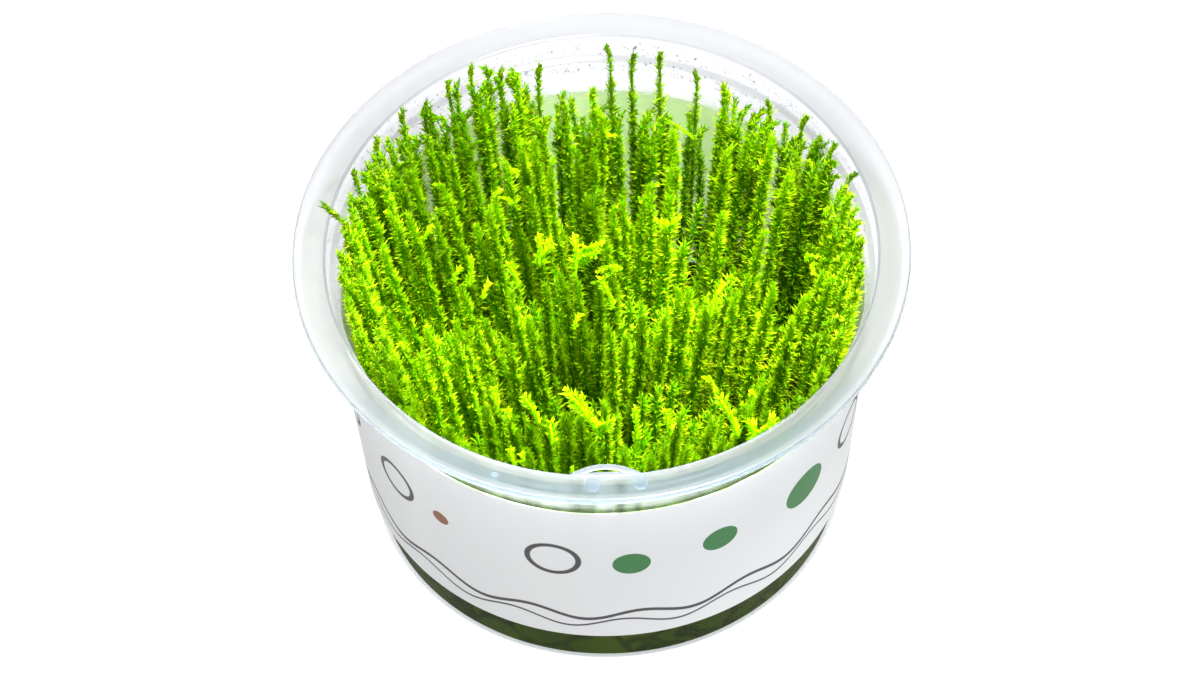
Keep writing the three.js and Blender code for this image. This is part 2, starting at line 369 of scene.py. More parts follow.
@dataclass(frozen=True)
class ClearPolypropylene:
    """Injection-moulded clear polypropylene: see-through in the thin wall, milky in the thick rim."""

    name: str = "clear_polypropylene_moulded"
    # Colours of the plastic, of the light that passes it unbent, and of the light that it scatters
    tint: str = "#f1f6f8"
    open_tint: str = "#f6f7f8"
    haze: str = "#ebe8ed"
    # Colours of the painted shade at the front, of the painted dark lines at the rim's edges, and of
    # the painted shade at the back
    edge: str = "#8ba9bd"
    line: str = "#6b7e86"
    painted_back_shade_grey: str = "#9a9b9c"
    # Shares of these painted shades: front of the rim, shoulder, back of the rim, bare wall under it
    painted_rim_front_shade: float = 0.1
    painted_shoulder_shade: float = 0.68
    painted_back_shade: float = 0.05
    painted_back_wall_shade: float = 0.45
    ior: float = 1.49
    roughness: float = 0.1
    # Shares of light that pass the wall and the rim unbent, and the same for the lamps' light
    wall_open: float = 0.85
    rim_open: float = 0.3
    lamp_open: Span = (0.94, 0.8)
    # Share of the bent light that the rim scatters, and the part of that which comes back up
    rim_haze: float = 0.5
    white_share: float = 0.0
    # Width of the flow marks in millimetres
    flow_mark_size: float = 9.0
    # Least and greatest roughness in the flow marks, as shares of the mean
    flow_gloss: Span = (0.7, 1.4)
    # Heights between which the wall turns into the rim, and the bare wall's painted grey shade into
    # the rim's
    rim_start: Span = (44.2, 45.8)
    flange_start: Span = (54.0, 55.8)
    # Painted outer edge line, standing in for light bent at the edge: where it sets in, its share,
    # and depths between which it fades to what is left
    outer_edge: Span = (47.2, 47.4)
    painted_outer_line: float = 0.85
    outer_fade: tuple[Span, Span] = ((-20.0, 25.0), (1.0, 0.3))
    # Painted line round the mouth, drawn only above a height: the same, and its distance from the
    # axis
    mouth: float = 42.6
    mouth_edge: Span = (0.1, 0.32)
    painted_mouth_line: float = 0.7
    mouth_fade: tuple[Span, Span] = ((20.0, 38.0), (1.0, 0.5))
    mouth_height: float = 55.9
    # Painted shade over the shoulder, and depths between which the front and the back get their
    # painted shades
    shoulder: float = 45.4
    shoulder_edge: Span = (0.7, 1.25)
    painted_front_shade_depths: Span = (-20.0, -42.0)
    painted_back_shade_depths: Span = (4.0, 26.0)

    def build(self) -> Material:
        """Make the material."""
        material, tree = new_material(self.name)
        place = millimetre_coordinates(tree)
        height = parts_of(tree, place)[2]
        lines, shade, painted_back_shade = self._painted_rim_shading(tree, place)

        def with_painted_shading(plain: str) -> Socket:
            """Give a colour with the rim's painted shades and painted edge lines in it."""
            greyed = mix_colours(tree, painted_back_shade, plain, self.painted_back_shade_grey)
            return mix_colours(tree, lines, mix_colours(tree, shade, greyed, self.edge), self.line)

        # The scattered and the unbent light both carry the painted shades and painted edge lines
        scattered = with_painted_shading(self.haze)
        onwards = translucent(tree, scattered)
        back = add_node(tree, "ShaderNodeBsdfDiffuse", {}, {"Color": scattered})
        haze = mix_shaders(tree, self.white_share, onwards, back)
        haze_share = map_range(tree, height, self.rim_start, (0.0, self.rim_haze))
        milky = mix_shaders(tree, haze_share, self._clear(tree, place), haze)
        # Lamps shine through the clear plastic to what is in the cup
        shadow = add_node(tree, "ShaderNodeLightPath").outputs["Is Shadow Ray"]
        share = math_of(
            tree, "MAXIMUM",
            map_range(tree, height, self.rim_start, (self.wall_open, self.rim_open)),
            product(tree, shadow, map_range(tree, height, self.rim_start, self.lamp_open)),
        )
        open_light = {"Color": with_painted_shading(self.open_tint)}
        unbent = add_node(tree, "ShaderNodeBsdfTransparent", {}, open_light)
        return with_surface(material, mix_shaders(tree, share, milky, unbent))

    def _clear(self, tree: Tree, place: Socket) -> Node:
        """Give the clear plastic, with faint waves that the melt leaves as it flows outwards."""
        flow = noise_texture(tree, place, 1 / self.flow_mark_size, 3.0, 0.45).outputs["Fac"]
        glosses = tuple(self.roughness * share for share in self.flow_gloss)
        return add_node(
            tree, "ShaderNodeBsdfPrincipled", {}, {
                "Base Color": linear(self.tint), "IOR": self.ior, "Transmission Weight": 1.0,
                "Roughness": map_range(tree, flow, (0.3, 0.7), glosses),
                "Normal": bump_normal(tree, flow, 0.12, 0.12),
            },
        )

    def _painted_rim_shading(self, tree: Tree, place: Socket) -> tuple[Socket, Socket, Socket]:
        """Give painted dark lines at the rim's edges, where the plastic bends light the most, and two
        painted shades of the rim.
        """
        _, depth, height = parts_of(tree, place)
        radius = add_node(
            tree, "ShaderNodeVectorMath", {"operation": "LENGTH"}, {0: level_part(tree, place)},
        ).outputs["Value"]
        # Painted dark lines where the rim's edges bend light
        outer = map_range(tree, radius, self.outer_edge, (0.0, self.painted_outer_line))
        off_mouth = distance_from(tree, radius, self.mouth)
        mouth = map_range(tree, off_mouth, self.mouth_edge, (self.painted_mouth_line, 0.0))
        top = math_of(tree, "GREATER_THAN", height, self.mouth_height)
        lines = math_of(
            tree, "MAXIMUM",
            product(tree, outer, map_range(tree, depth, *self.outer_fade)),
            product(tree, mouth, top, map_range(tree, depth, *self.mouth_fade)),
        )
        # Painted shade: the front of the rim, which lies over the wall, is greyer, most of all over
        # the shoulder
        shoulder = map_range(
            tree, distance_from(tree, radius, self.shoulder), self.shoulder_edge,
            (self.painted_shoulder_shade, self.painted_rim_front_shade), smooth=True,
        )
        shade = product(tree, shoulder, map_range(tree, depth, self.painted_front_shade_depths))
        # Painted shade: the back of the cup is greyed as if it takes less light from the floor, above
        # all the bare wall
        painted_greys = (self.painted_back_wall_shade, self.painted_back_shade)
        bare = product(
            tree, map_range(tree, height, self.rim_start),
            map_range(tree, height, self.flange_start, painted_greys),
        )
        return lines, shade, product(tree, map_range(tree, depth, self.painted_back_shade_depths), bare)


@dataclass(frozen=True)
class CondensedWater:
    """Still drops of condensed water: smooth, clear, and bright where they bend light."""

    tint: str = "#aeb8bd"
    ior: float = 1.333
    dust_scale: float = 1.4
    roughness: Span = (0.01, 0.06)

    def build(self) -> Material:
        """Make the material."""
        material, tree = new_material("condensed_water")
        dust = noise_texture(tree, millimetre_coordinates(tree), self.dust_scale, 2.0)
        water = add_node(
            tree, "ShaderNodeBsdfPrincipled", {}, {
                "Base Color": linear(self.tint), "IOR": self.ior, "Transmission Weight": 1.0,
                "Roughness": map_range(tree, dust.outputs["Fac"], result=self.roughness),
            },
        )
        return with_surface(material, water)


@dataclass(frozen=True)
class PrintedFilm:
    """Matt coated polypropylene label film, printed with rings, dots and two waves in dark ink."""

    # Colours of the bare film, of its darker patches, and of its inner face, painted green for the
    # moss's light
    film: str = "#e3e2e7"
    shaded_film: str = "#dedee4"
    painted_green_inner_film: str = "#d0dfb8"
    # Shares of light that its outer and its inner face let through
    outer_glow: float = 0.28
    inner_glow: float = 0.72
    ink: str = "#404043"
    green_ink: str = "#2f7a3c"
    brown_ink: str = "#8a5a3c"
    # Waves round the cup, half their height, and height, shift and half width of the two lines
    wave_count: int = 14
    wave_swing: float = 1.1
    waves: tuple[tuple[float, float, float], ...] = ((14.6, 0.0, 0.42), (12.4, 0.9, 0.24))
    stroke_softness: float = 0.06
    radius: float = 39.3
    # Cells with a ring or dot each: width in millimetres, and sizes as shares of that width
    cell: float = 14.0
    stray: float = 0.4
    least_size: float = 0.1
    size_spread: float = 0.2
    ring_stroke: Span = (0.032, 0.005)
    seam_gap: float = 0.4
    # Heights of their middles, shares of the cells left empty and given a ring, and brown dots
    band: Span = (21.5, 38.5)
    empty_share: float = 0.3
    ring_share: float = 0.55
    brown_below: float = 0.68

    def build(self) -> Material:
        """Make the material."""
        material, tree = new_material("label_film_matt_coated")
        place = millimetre_coordinates(tree)
        across, depth, height = parts_of(tree, place)
        turn = math_of(tree, "ARCTAN2", across, product(tree, depth, -1.0))
        waves = self._waves(tree, turn, height)
        rings, dots, brown = self._bubbles(tree, product(tree, turn, self.radius), height)
        facing = self._outer_face(tree, place)
        # Painted green light: the film's inner face is coloured green for the light the moss throws
        # on it
        paper = mix_colours(tree, facing, self.painted_green_inner_film, self._paper(tree, place))
        dark = product(tree, math_of(tree, "MAXIMUM", waves, rings), facing)
        inked = mix_colours(tree, dark, paper, self.ink)
        dot_ink = mix_colours(tree, brown, self.green_ink, self.brown_ink)
        colour = mix_colours(tree, product(tree, dots, facing), inked, dot_ink)
        grain = noise_texture(tree, place, 3.0, 3.0).outputs["Fac"]
        film = add_node(
            tree, "ShaderNodeBsdfPrincipled", {}, {
                "Base Color": colour, "Roughness": 0.46, "IOR": 1.49,
                "Normal": bump_normal(tree, grain, 0.08, 0.05),
            },
        )
        glow = math_of(
            tree, "MULTIPLY_ADD", facing, self.outer_glow - self.inner_glow, self.inner_glow
        )
        return with_surface(material, mix_shaders(tree, glow, film, translucent(tree, colour)))

    def _paper(self, tree: Tree, place: Socket) -> Socket:
        """Give the bare film's colour, which varies a little in broad soft patches."""
        cloud = noise_texture(tree, place, 0.05, 2.0)
        return mix_colours(tree, cloud.outputs["Fac"], self.film, self.shaded_film)

    def _outer_face(self, tree: Tree, place: Socket) -> Socket:
        """Give 1 where a face looks away from the cup's axis, and 0 elsewhere."""
        normal = add_node(tree, "ShaderNodeNewGeometry").outputs["Normal"]
        facing = add_node(
            tree, "ShaderNodeVectorMath", {"operation": "DOT_PRODUCT"},
            {0: level_part(tree, place), 1: normal},
        )
        return math_of(tree, "GREATER_THAN", facing.outputs["Value"], 0.0)

    def _stroke(self, tree: Tree, offset: Socket, half_width: float, softness: float) -> Socket:
        """Give 1 within a stroke's half width of its middle, with soft edges."""
        edge = (half_width - softness, half_width + softness)
        return map_range(tree, math_of(tree, "ABSOLUTE", offset), edge, (1.0, 0.0))

    def _waves(self, tree: Tree, turn: Socket, height: Socket) -> Socket:
        """Give the ink of two waves that run round the label's lower part."""
        phase = product(tree, turn, float(self.wave_count))
        strokes = []
        for level, shift, half_width in self.waves:
            swing = math_of(tree, "SINE", math_of(tree, "ADD", phase, shift))
            middle = math_of(tree, "MULTIPLY_ADD", swing, self.wave_swing, level)
            offset = math_of(tree, "SUBTRACT", height, middle)
            strokes.append(self._stroke(tree, offset, half_width, self.stroke_softness))
        return math_of(tree, "MAXIMUM", *strokes)

    def _bubbles(self, tree: Tree, along: Socket, height: Socket) -> tuple[Socket, Socket, Socket]:
        """Give the ink of scattered rings and dots above the waves, and which dots are brown."""
        flat = add_node(tree, "ShaderNodeCombineXYZ", {}, {0: along, 1: height})
        cells = add_node(
            tree, "ShaderNodeTexVoronoi", {"voronoi_dimensions": "2D"},
            {"Vector": flat.outputs[0], "Scale": 1 / self.cell, "Randomness": self.stray},
        )
        pick = add_node(tree, "ShaderNodeSeparateColor", {}, {0: cells.outputs["Color"]})
        red, green, blue = pick.outputs["Red"], pick.outputs["Green"], pick.outputs["Blue"]
        size = math_of(tree, "MULTIPLY_ADD", red, self.size_spread, self.least_size)
        offset = math_of(tree, "SUBTRACT", cells.outputs["Distance"], size)
        ring = self._stroke(tree, offset, *self.ring_stroke)
        disc = math_of(tree, "LESS_THAN", offset, 0.0)
        # None is cut by the waves, by the film's top edge or by the seam at the back
        middle_along, middle_height, _ = parts_of(tree, cells.outputs["Position"])
        band = product(
            tree, math_of(tree, "GREATER_THAN", middle_height, self.band[0]),
            math_of(tree, "LESS_THAN", middle_height, self.band[1]),
        )
        off_seam = math_of(
            tree, "LESS_THAN", math_of(tree, "ABSOLUTE", middle_along),
            math.pi * self.radius - self.seam_gap * self.cell,
        )
        picked = math_of(tree, "GREATER_THAN", green, self.empty_share)
        shown = product(tree, picked, off_seam, band)
        filled = math_of(tree, "GREATER_THAN", blue, self.ring_share)
        rings = product(tree, ring, shown, math_of(tree, "SUBTRACT", 1.0, filled))
        dots = product(tree, disc, shown, filled)
        return rings, dots, math_of(tree, "LESS_THAN", blue, self.brown_below)


@dataclass(frozen=True)
class OliveAgar:
    """Set agar jelly, olive from algae-green nutrients, wet and cloudy with old shoots in it."""

    pale: str = "#3f4f02"
    deep: str = "#2a3b00"
    loop: str = "#192600"
    # Waves or cells a millimetre of the clouds, of the loops' bends and of the loops
    cloud_scale: float = 0.09
    wander_scale: float = 0.16
    wander: float = 9.0
    loop_scale: float = 0.13
    loop_edge: Span = (0.03, 0.11)
    loop_share: float = 0.75

    def build(self) -> Material:
        """Make the material."""
        material, tree = new_material("agar_growth_gel")
        place = millimetre_coordinates(tree)
        cloud = noise_texture(tree, place, self.cloud_scale, 4.0).outputs["Fac"]
        body = colour_ramp(tree, cloud, [(0.3, self.deep), (0.7, self.pale)])
        # Old shoots in the jelly, drawn as thin wandering loops about 1.2 mm wide
        wander = noise_texture(tree, place, self.wander_scale, 1.0)
        bent = add_node(
            tree, "ShaderNodeVectorMath", {"operation": "MULTIPLY_ADD"},
            {0: wander.outputs["Color"], 1: (self.wander,) * 3, 2: place},
        )
        loops = add_node(
            tree, "ShaderNodeTexVoronoi", {"feature": "DISTANCE_TO_EDGE"},
            {"Vector": bent.outputs[0], "Scale": self.loop_scale},
        )
        share = (self.loop_share, 0.0)
        strand = map_range(tree, loops.outputs["Distance"], self.loop_edge, share)
        jelly = add_node(
            tree, "ShaderNodeBsdfPrincipled", {}, {
                "Base Color": mix_colours(tree, strand, body, self.loop), "Roughness": 0.3,
                "IOR": 1.34, "Specular IOR Level": 0.0,
                "Normal": bump_normal(tree, cloud, 0.2, 0.4),
            },
        )
        return with_surface(material, jelly)


@dataclass(frozen=True)
class MossLeaf:
    """Thin wet moss leaf, one cell thick: it lets yellow-green light through and glints a bit."""

    name: str
    stem: str
    inner: str
    outer: str
    bud: str
    through: str
    through_share: float = 0.34
    dull_share: float = 0.75
    # Share of a shoot's length from its root that is old, and how old it is at both ends of that
    age: tuple[Span, Span] = ((0.0, 0.4), (0.7, 0.0))

    def build(self) -> Material:
        """Make the material."""
        material, tree = new_material(self.name)
        tint, along, blade, bud = (
            add_node(tree, "ShaderNodeAttribute", {"attribute_name": mark}).outputs["Fac"]
            for mark in SHOOT_MARKS
        )
        speckle = noise_texture(tree, millimetre_coordinates(tree), 1.6, 1.0).outputs["Fac"]
        # Each leaf has its own brightness in the blade attribute, rising from a painted shade at its
        # foot by the stem to a painted highlight at its tip, and cells vary a little in it
        cells = math_of(tree, "MULTIPLY_ADD", speckle, 0.3, -0.15)
        tone = math_of(tree, "ADD", blade, cells, clamp=True)
        leaf = colour_ramp(tree, tone, [(0.0, self.stem), (0.3, self.inner), (0.95, self.outer)])
        darker = mix_colours(tree, product(tree, tint, self.dull_share), leaf, self.stem)
        # Leaves low on a shoot are old and dull, and the bud at its tip is dense and dark
        aged = mix_colours(tree, map_range(tree, along, *self.age), darker, self.stem)
        colour = mix_colours(tree, bud, aged, self.bud)
        surface = add_node(
            tree, "ShaderNodeBsdfPrincipled", {}, {
                "Base Color": colour, "Roughness": 0.42, "IOR": 1.42, "Specular IOR Level": 0.15,
            },
        )
        through = translucent(tree, mix_colours(tree, 0.5, colour, self.through))
        return with_surface(material, mix_shaders(tree, self.through_share, surface, through))


class MossTone(Enum):
    """The moss leaf finishes of the stand."""

    MATURE = MossLeaf(
        "moss_leaf_mature", stem="#2a7400", inner="#84d000", outer="#f4ff1e", bud="#1f5a06",
        through="#d8ff00", through_share=0.38,
    )
    TALL = MossLeaf(
        "moss_leaf_tall_shoot", stem="#4c8400", inner="#669a00", outer="#c4e000", bud="#1f5a06",
        through="#d0e800",
    )
    YOUNG = MossLeaf(
        "moss_leaf_young", stem="#b0f400", inner="#c4fc00", outer="#ecff18", bud="#ccff00",
        through="#d8ff10", through_share=0.45,
    )


# The cup and what lies in and on it


@dataclass(frozen=True)
class Wall:
    """The cup's tapered wall, which the label, the gel and the moss are fitted to."""

    radius_at_base: float = 36.5
    radius_at_top: float = 41.75
    top: float = 52.5
    thickness: float = 0.75
    gap: float = 0.3

    def outer(self, height: float) -> float:
        """Give the radius of the outer face at a height."""
        return self.radius_at_base + (self.radius_at_top - self.radius_at_base) * height / self.top

    def inner(self, height: float) -> float:
        """Give the radius of the inner face at a height."""
        return self.outer(height) - self.thickness


@dataclass
class Cup:
    """The moulded cup with its flange, stacking ledge, front lip and nubs."""

    wall: Wall
    rim_height: float = 56.5
    flange_radius: float = 47.5
    flange_thickness: float = 1.2
    mouth_radius: float = 42.45
    ledge_depth: float = 4.1
    floor_thickness: float = 0.6
    base_corner: float = 1.6
    # The shoulder's outer section over the wall
    shoulder_bottom: float = 47.5
    shoulder: Profile = field(
        default_factory=lambda: [(42.3, 50.0), (43.4, 52.6), (45.2, 54.6), (46.2, 55.3)]
    )
    # How far the ledge's wall leans in, and the rounding of other corners by place in the section
    rim_rounding: float = 0.4
    section_rounding: dict[int, float] = field(
        default_factory=lambda: {
            3: 1.2, 4: 1.2, 5: 1.0, 7: 0.3, 8: 0.35, 9: 0.55, 10: 0.25, 11: 0.3,
        }
    )
    # The lip inside the front of the rim: its middle is lifted and its ends sink into the rim
    lip_width: float = 11.0
    lip_reach: float = 1.5
    lip_thickness: float = 0.35
    lip_offset: float = -0.6
    lip_lift: float = 0.25
    lip_foot: float = 0.5
    lip_end_depth: float = 0.3
    lip_gap: float = 0.12
    lip_least: float = 0.1
    slit_width: float = 6.6
    slit_reach: float = 0.75
    # Places along X, distance from the axis and half sizes of the nubs and of a bead beside them
    nub_places: Span = (-2.5, 4.8)
    nub_distance: float = 44.4
    nub_half_size: Point = (1.15, 1.5, 0.28)
    bead: tuple[float, float, Point] = (-17.3, 45.3, (0.6, 0.45, 0.25))
    steps: int = 224

    def profile(self) -> tuple[Profile, dict[int, float]]:
        """Give the cup's section and the rounding of its corners."""
        ledge = self.rim_height - self.ledge_depth
        under_ledge = ledge - self.rim_rounding
        points = [
            (0.0, 0.0),
            (self.wall.outer(0.0), 0.0),
            (self.wall.outer(self.shoulder_bottom), self.shoulder_bottom),
            *self.shoulder,
            (self.flange_radius, self.rim_height - self.flange_thickness),
            (self.flange_radius, self.rim_height),
            (self.mouth_radius, self.rim_height),
            (self.mouth_radius - self.rim_rounding, ledge),
            (self.wall.inner(under_ledge), under_ledge),
            (self.wall.inner(self.floor_thickness), self.floor_thickness),
            (0.0, self.floor_thickness),
        ]
        inner_corner = self.base_corner - self.wall.thickness
        return points, {1: self.base_corner, **self.section_rounding, 12: inner_corner}

    def build(self, finish: Material) -> Object:
        """Make the cup and dress it."""
        points, rounding = self.profile()
        bm = turned(points, self.steps, rounding)
        return finished_object("cup_body", bm, finish, 32.0)

    def build_lip(self, finish: Material) -> Object:
        """Make the thin lip inside the rim's front edge: a strip, a slit and an arch before it."""
        bm = bmesh.new()
        half = self.lip_width / 2

        def share(across: float) -> float:
            """Give 1 in the lip's middle and 0 at its ends."""
            return max(0.0, 1 - (across / half) ** 2)

        def root(across: float) -> float:
            """Give the reach of the slit's near side, which runs back into the rim at its ends."""
            return self.lip_gap - self.lip_end_depth * (1 - share(across))

        def slit(across: float) -> float:
            """Give the reach of the slit's far side."""
            opening = max(0.0, 1 - (2 * across / self.slit_width) ** 2)
            return root(across) + self.slit_reach * opening

        def arch(across: float) -> float:
            """Give the reach of the arch."""
            return max(slit(across) + self.lip_least, root(across) + self.lip_reach * share(across))

        def foot(across: float) -> float:
            """Give the reach of the lip's foot on the rim."""
            return root(across) - self.lip_least - self.lip_foot * share(across)

        self._add_strip(bm, foot, root)
        self._add_strip(bm, slit, arch)
        return finished_object("cup_lip", bm, finish, 32.0)

    def build_nubs(self, finish: Material) -> Object:
        """Make the two low nubs on the flange beside the lip."""
        bm = bmesh.new()
        self._add_nubs(bm)
        return finished_object("cup_nubs", bm, finish, 32.0)

    def _add_strip(
        self, bm: BMesh, near: Callable[[float], float], far: Callable[[float], float]
    ) -> None:
        """Add a strip of the lip between two distances from the rim's edge."""
        strip = bmesh.new()
        bmesh.ops.create_grid(strip, x_segments=24, y_segments=2, size=0.5)
        for vertex in strip.verts:
            across = vertex.co.x * self.lip_width
            share = 1 - (2 * across / self.lip_width) ** 2
            rim = -math.sqrt(self.mouth_radius ** 2 - across ** 2)
            reach = near(across) + (far(across) - near(across)) * (vertex.co.y + 0.5)
            level = self.rim_height + self.lip_gap + self.lip_lift * share
            vertex.co = (
                across + self.lip_offset, rim + reach, level - self.lip_end_depth * (1 - share)
            )
        bmesh.ops.solidify(strip, geom=strip.faces[:], thickness=self.lip_thickness)
        bmesh.ops.recalc_face_normals(strip, faces=strip.faces)
        self._join(bm, strip)

    def _add_nubs(self, bm: BMesh) -> None:
        """Add the two low nubs on the flange beside the lip, and a bead to the left of them."""
        for side, distance, half_size in (
            *((side, self.nub_distance, self.nub_half_size) for side in self.nub_places),
            self.bead,
        ):
            nub = bmesh.new()
            bmesh.ops.create_uvsphere(nub, u_segments=24, v_segments=12, radius=1.0)
            bmesh.ops.scale(nub, vec=half_size, verts=nub.verts)
            forward = -math.sqrt(distance ** 2 - side ** 2)
            bmesh.ops.translate(nub, verts=nub.verts, vec=(side, forward, self.rim_height))
            self._join(bm, nub)

    def _join(self, bm: BMesh, extra: BMesh) -> None:
        """Move a small mesh into the cup's mesh."""
        mesh = bpy.data.meshes.new("cup_detail")
        extra.to_mesh(mesh)
        extra.free()
        bm.from_mesh(mesh)
        bpy.data.meshes.remove(mesh)


@dataclass
class Condensation:
    """Fine drops on the cup's inner wall under the rim, most of them at the back."""

    cup: Cup
    count: int = 1400
    lowest: float = 50.0
    highest: float = 55.8
    # How far drops stray from the back in degrees, and their half widths with each one's share
    spread: float = 62.0
    sizes: tuple[float, ...] = (0.07, 0.11, 0.17)
    shares: tuple[float, ...] = (0.5, 0.4, 0.1)
    flatness: float = 0.55
    seed: int = 11

    def build(self, finish: Material) -> Object:
        """Make all drops as one piece."""
        rng = np.random.default_rng(self.seed)
        bm = bmesh.new()
        ledge = self.cup.rim_height - self.cup.ledge_depth
        for _ in range(self.count):
            bearing = math.radians(90 + rng.normal(0, self.spread))
            height = float(rng.uniform(self.lowest, self.highest))
            size = float(rng.choice(self.sizes, p=self.shares))
            if height > ledge:
                distance = self.cup.mouth_radius - self.cup.rim_rounding * (
                    (self.cup.rim_height - height) / self.cup.ledge_depth
                )
            else:
                distance = self.cup.wall.inner(height)
            place = Vector((distance * math.cos(bearing), distance * math.sin(bearing), height))
            length = size * float(rng.uniform(1, 1.5))
            self._drop(bm, place, bearing, (size * self.flatness, size, length))
        return finished_object("condensation", bm, finish, 60.0)

    def _drop(self, bm: BMesh, place: Vector, bearing: float, half_size: Point) -> None:
        """Add one flat drop whose thin side is turned to the cup's axis."""
        matrix = (
            Matrix.Translation(place) @ Matrix.Rotation(bearing, 4, "Z")
            @ Matrix.Diagonal((*half_size, 1.0))
        )
        bmesh.ops.create_icosphere(bm, subdivisions=1, radius=1.0, matrix=matrix)


@dataclass
class Label:
    """The film sleeve wrapped round the wall, with its glued overlap at the back."""

    wall: Wall
    bottom: float = 8.4
    top: float = 45.0
    thickness: float = 0.2
    overlap_width: float = 9.0
    overlap_lift: float = 0.12
    steps: int = 180

    def build(self, finish: Material) -> Object:
        """Make the sleeve and dress it."""
        low = self.wall.outer(self.bottom) + self.wall.gap
        high = self.wall.outer(self.top) + self.wall.gap
        profile = [
            (low, self.bottom), (low + self.thickness, self.bottom),
            (high + self.thickness, self.top), (high, self.top),
        ]
        bm = turned(profile, self.steps)
        self._lift_overlap(bm)
        return finished_object("label_sleeve", bm, finish, 40.0)

    def _lift_overlap(self, bm: BMesh) -> None:
        """Press the sleeve inwards beside its overlap, so that the glued edge shows as a step."""
        half = self.overlap_width / 2
        for vertex in bm.verts:
            if vertex.co.y > 0 and abs(vertex.co.x) < half:
                inward = Vector((vertex.co.x, vertex.co.y, 0.0)).normalized()
                vertex.co -= inward * self.overlap_lift


@dataclass
class GrowthGel:
    """The disc of set jelly on the cup's floor."""

    wall: Wall
    floor_thickness: float = 0.6
    corner: float = 0.9
    top: float = 9.5
    # How much lower its middle is than its edge, that edge's width, and how far it wets the cup
    dish: float = 0.2
    edge_width: float = 2.2
    wetting: float = 0.1
    steps: int = 128

    def build(self, finish: Material) -> Object:
        """Make the disc and dress it."""
        bottom = self.floor_thickness - self.wetting
        middle = self.top - self.dish
        profile = [
            (0.0, bottom), (self.wall.inner(bottom) + self.wetting, bottom),
            (self.wall.inner(self.top) + self.wetting, self.top),
            (self.wall.inner(self.top) - self.edge_width, middle), (0.0, middle),
        ]
        bm = turned(profile, self.steps, {1: self.corner, 2: 0.25, 3: 0.8})
        return finished_object("gel_disc", bm, finish, 40.0)


# Moss


def drift(x: float, y: float, layer: float) -> float:
    """Give smooth noise from about -1 to 1 at a place in one of its layers."""
    return noise.noise(Vector((x, y, layer)))


@dataclass(frozen=True)
class LeafBlade:
    """One moss leaf: a pointed blade with a keel, standing out and up from its stem.

    Attributes:
        length: Its length.
        width: Its greatest width.
        rise: Its angle above the level in degrees.
        keeled: Whether it has a keel of its own points, as leaves near the eye do.
        stem_radius: Radius of the stem that it stands on.
        keel_depth: How much higher its edges are than its middle.
        belly: How far its widest place lies nearer its foot than the middle, as a share.
    """

    length: float
    width: float
    rise: float
    keeled: bool
    stem_radius: float = 0.17
    keel_depth: float = 0.09
    belly: float = 0.12

    def build(self) -> BMesh:
        """Make the leaf at the start of its row, pointing outwards along +X."""
        bm = bmesh.new()
        if self.keeled:
            bmesh.ops.create_grid(bm, x_segments=2, y_segments=2, size=0.5)
            self._draw_to_points(bm)
        else:
            bmesh.ops.create_circle(bm, segments=4, radius=0.5, cap_ends=True)
            ends = sorted(bm.verts, key=lambda vertex: vertex.co.x)
            bmesh.ops.connect_vert_pair(bm, verts=[ends[0], ends[-1]])
        for vertex in bm.verts:
            if abs(vertex.co.x) < 1e-6:
                vertex.co.x = -self.belly
        bmesh.ops.triangulate(bm, faces=bm.faces)
        bmesh.ops.translate(bm, verts=bm.verts, vec=(0.5, 0, 0))
        bmesh.ops.scale(bm, verts=bm.verts, vec=(self.length, self.width, 1))
        for vertex in bm.verts:
            vertex.co.z += self.keel_depth * (2 * abs(vertex.co.y) / self.width)
        rise = Matrix.Rotation(-math.radians(self.rise), 4, "Y")
        bmesh.ops.transform(bm, matrix=rise, verts=bm.verts)
        bmesh.ops.translate(bm, verts=bm.verts, vec=(self.stem_radius * 0.8, 0, 0))
        return bm

    def _draw_to_points(self, bm: BMesh) -> None:
        """Draw both ends of a square of four faces together into points."""
        for end in (-0.5, 0.5):
            row = [vertex for vertex in bm.verts if abs(vertex.co.x - end) < 1e-6]
            bmesh.ops.pointmerge(bm, verts=row, merge_co=(end, 0, 0))


@dataclass(frozen=True)
class LeafRow:
    """Leaves of one kind set round a stem.

    Attributes:
        blade: The leaf.
        start: Distance of the first leaf below the shoot's tip.
        stop: Distance of the last leaf below the tip.
        pitch: Height from one leaf to the next.
        turn: Angle from one leaf to the next in degrees.
        stray: How far single leaves stray from their place round the stem, in degrees.
    """

    blade: LeafBlade
    start: float
    stop: float
    pitch: float
    turn: float = 137.5
    stray: float = 8.0


@dataclass
class LeafGroup:
    """Leaves of a row as arrays.

    Attributes:
        points: The points of each leaf.
        triangles: The triangles of one leaf.
        blade: How bright each point is.
        depth: Distance of each leaf below the shoot's tip.
    """

    points: Array
    triangles: Array
    blade: Array
    depth: Array


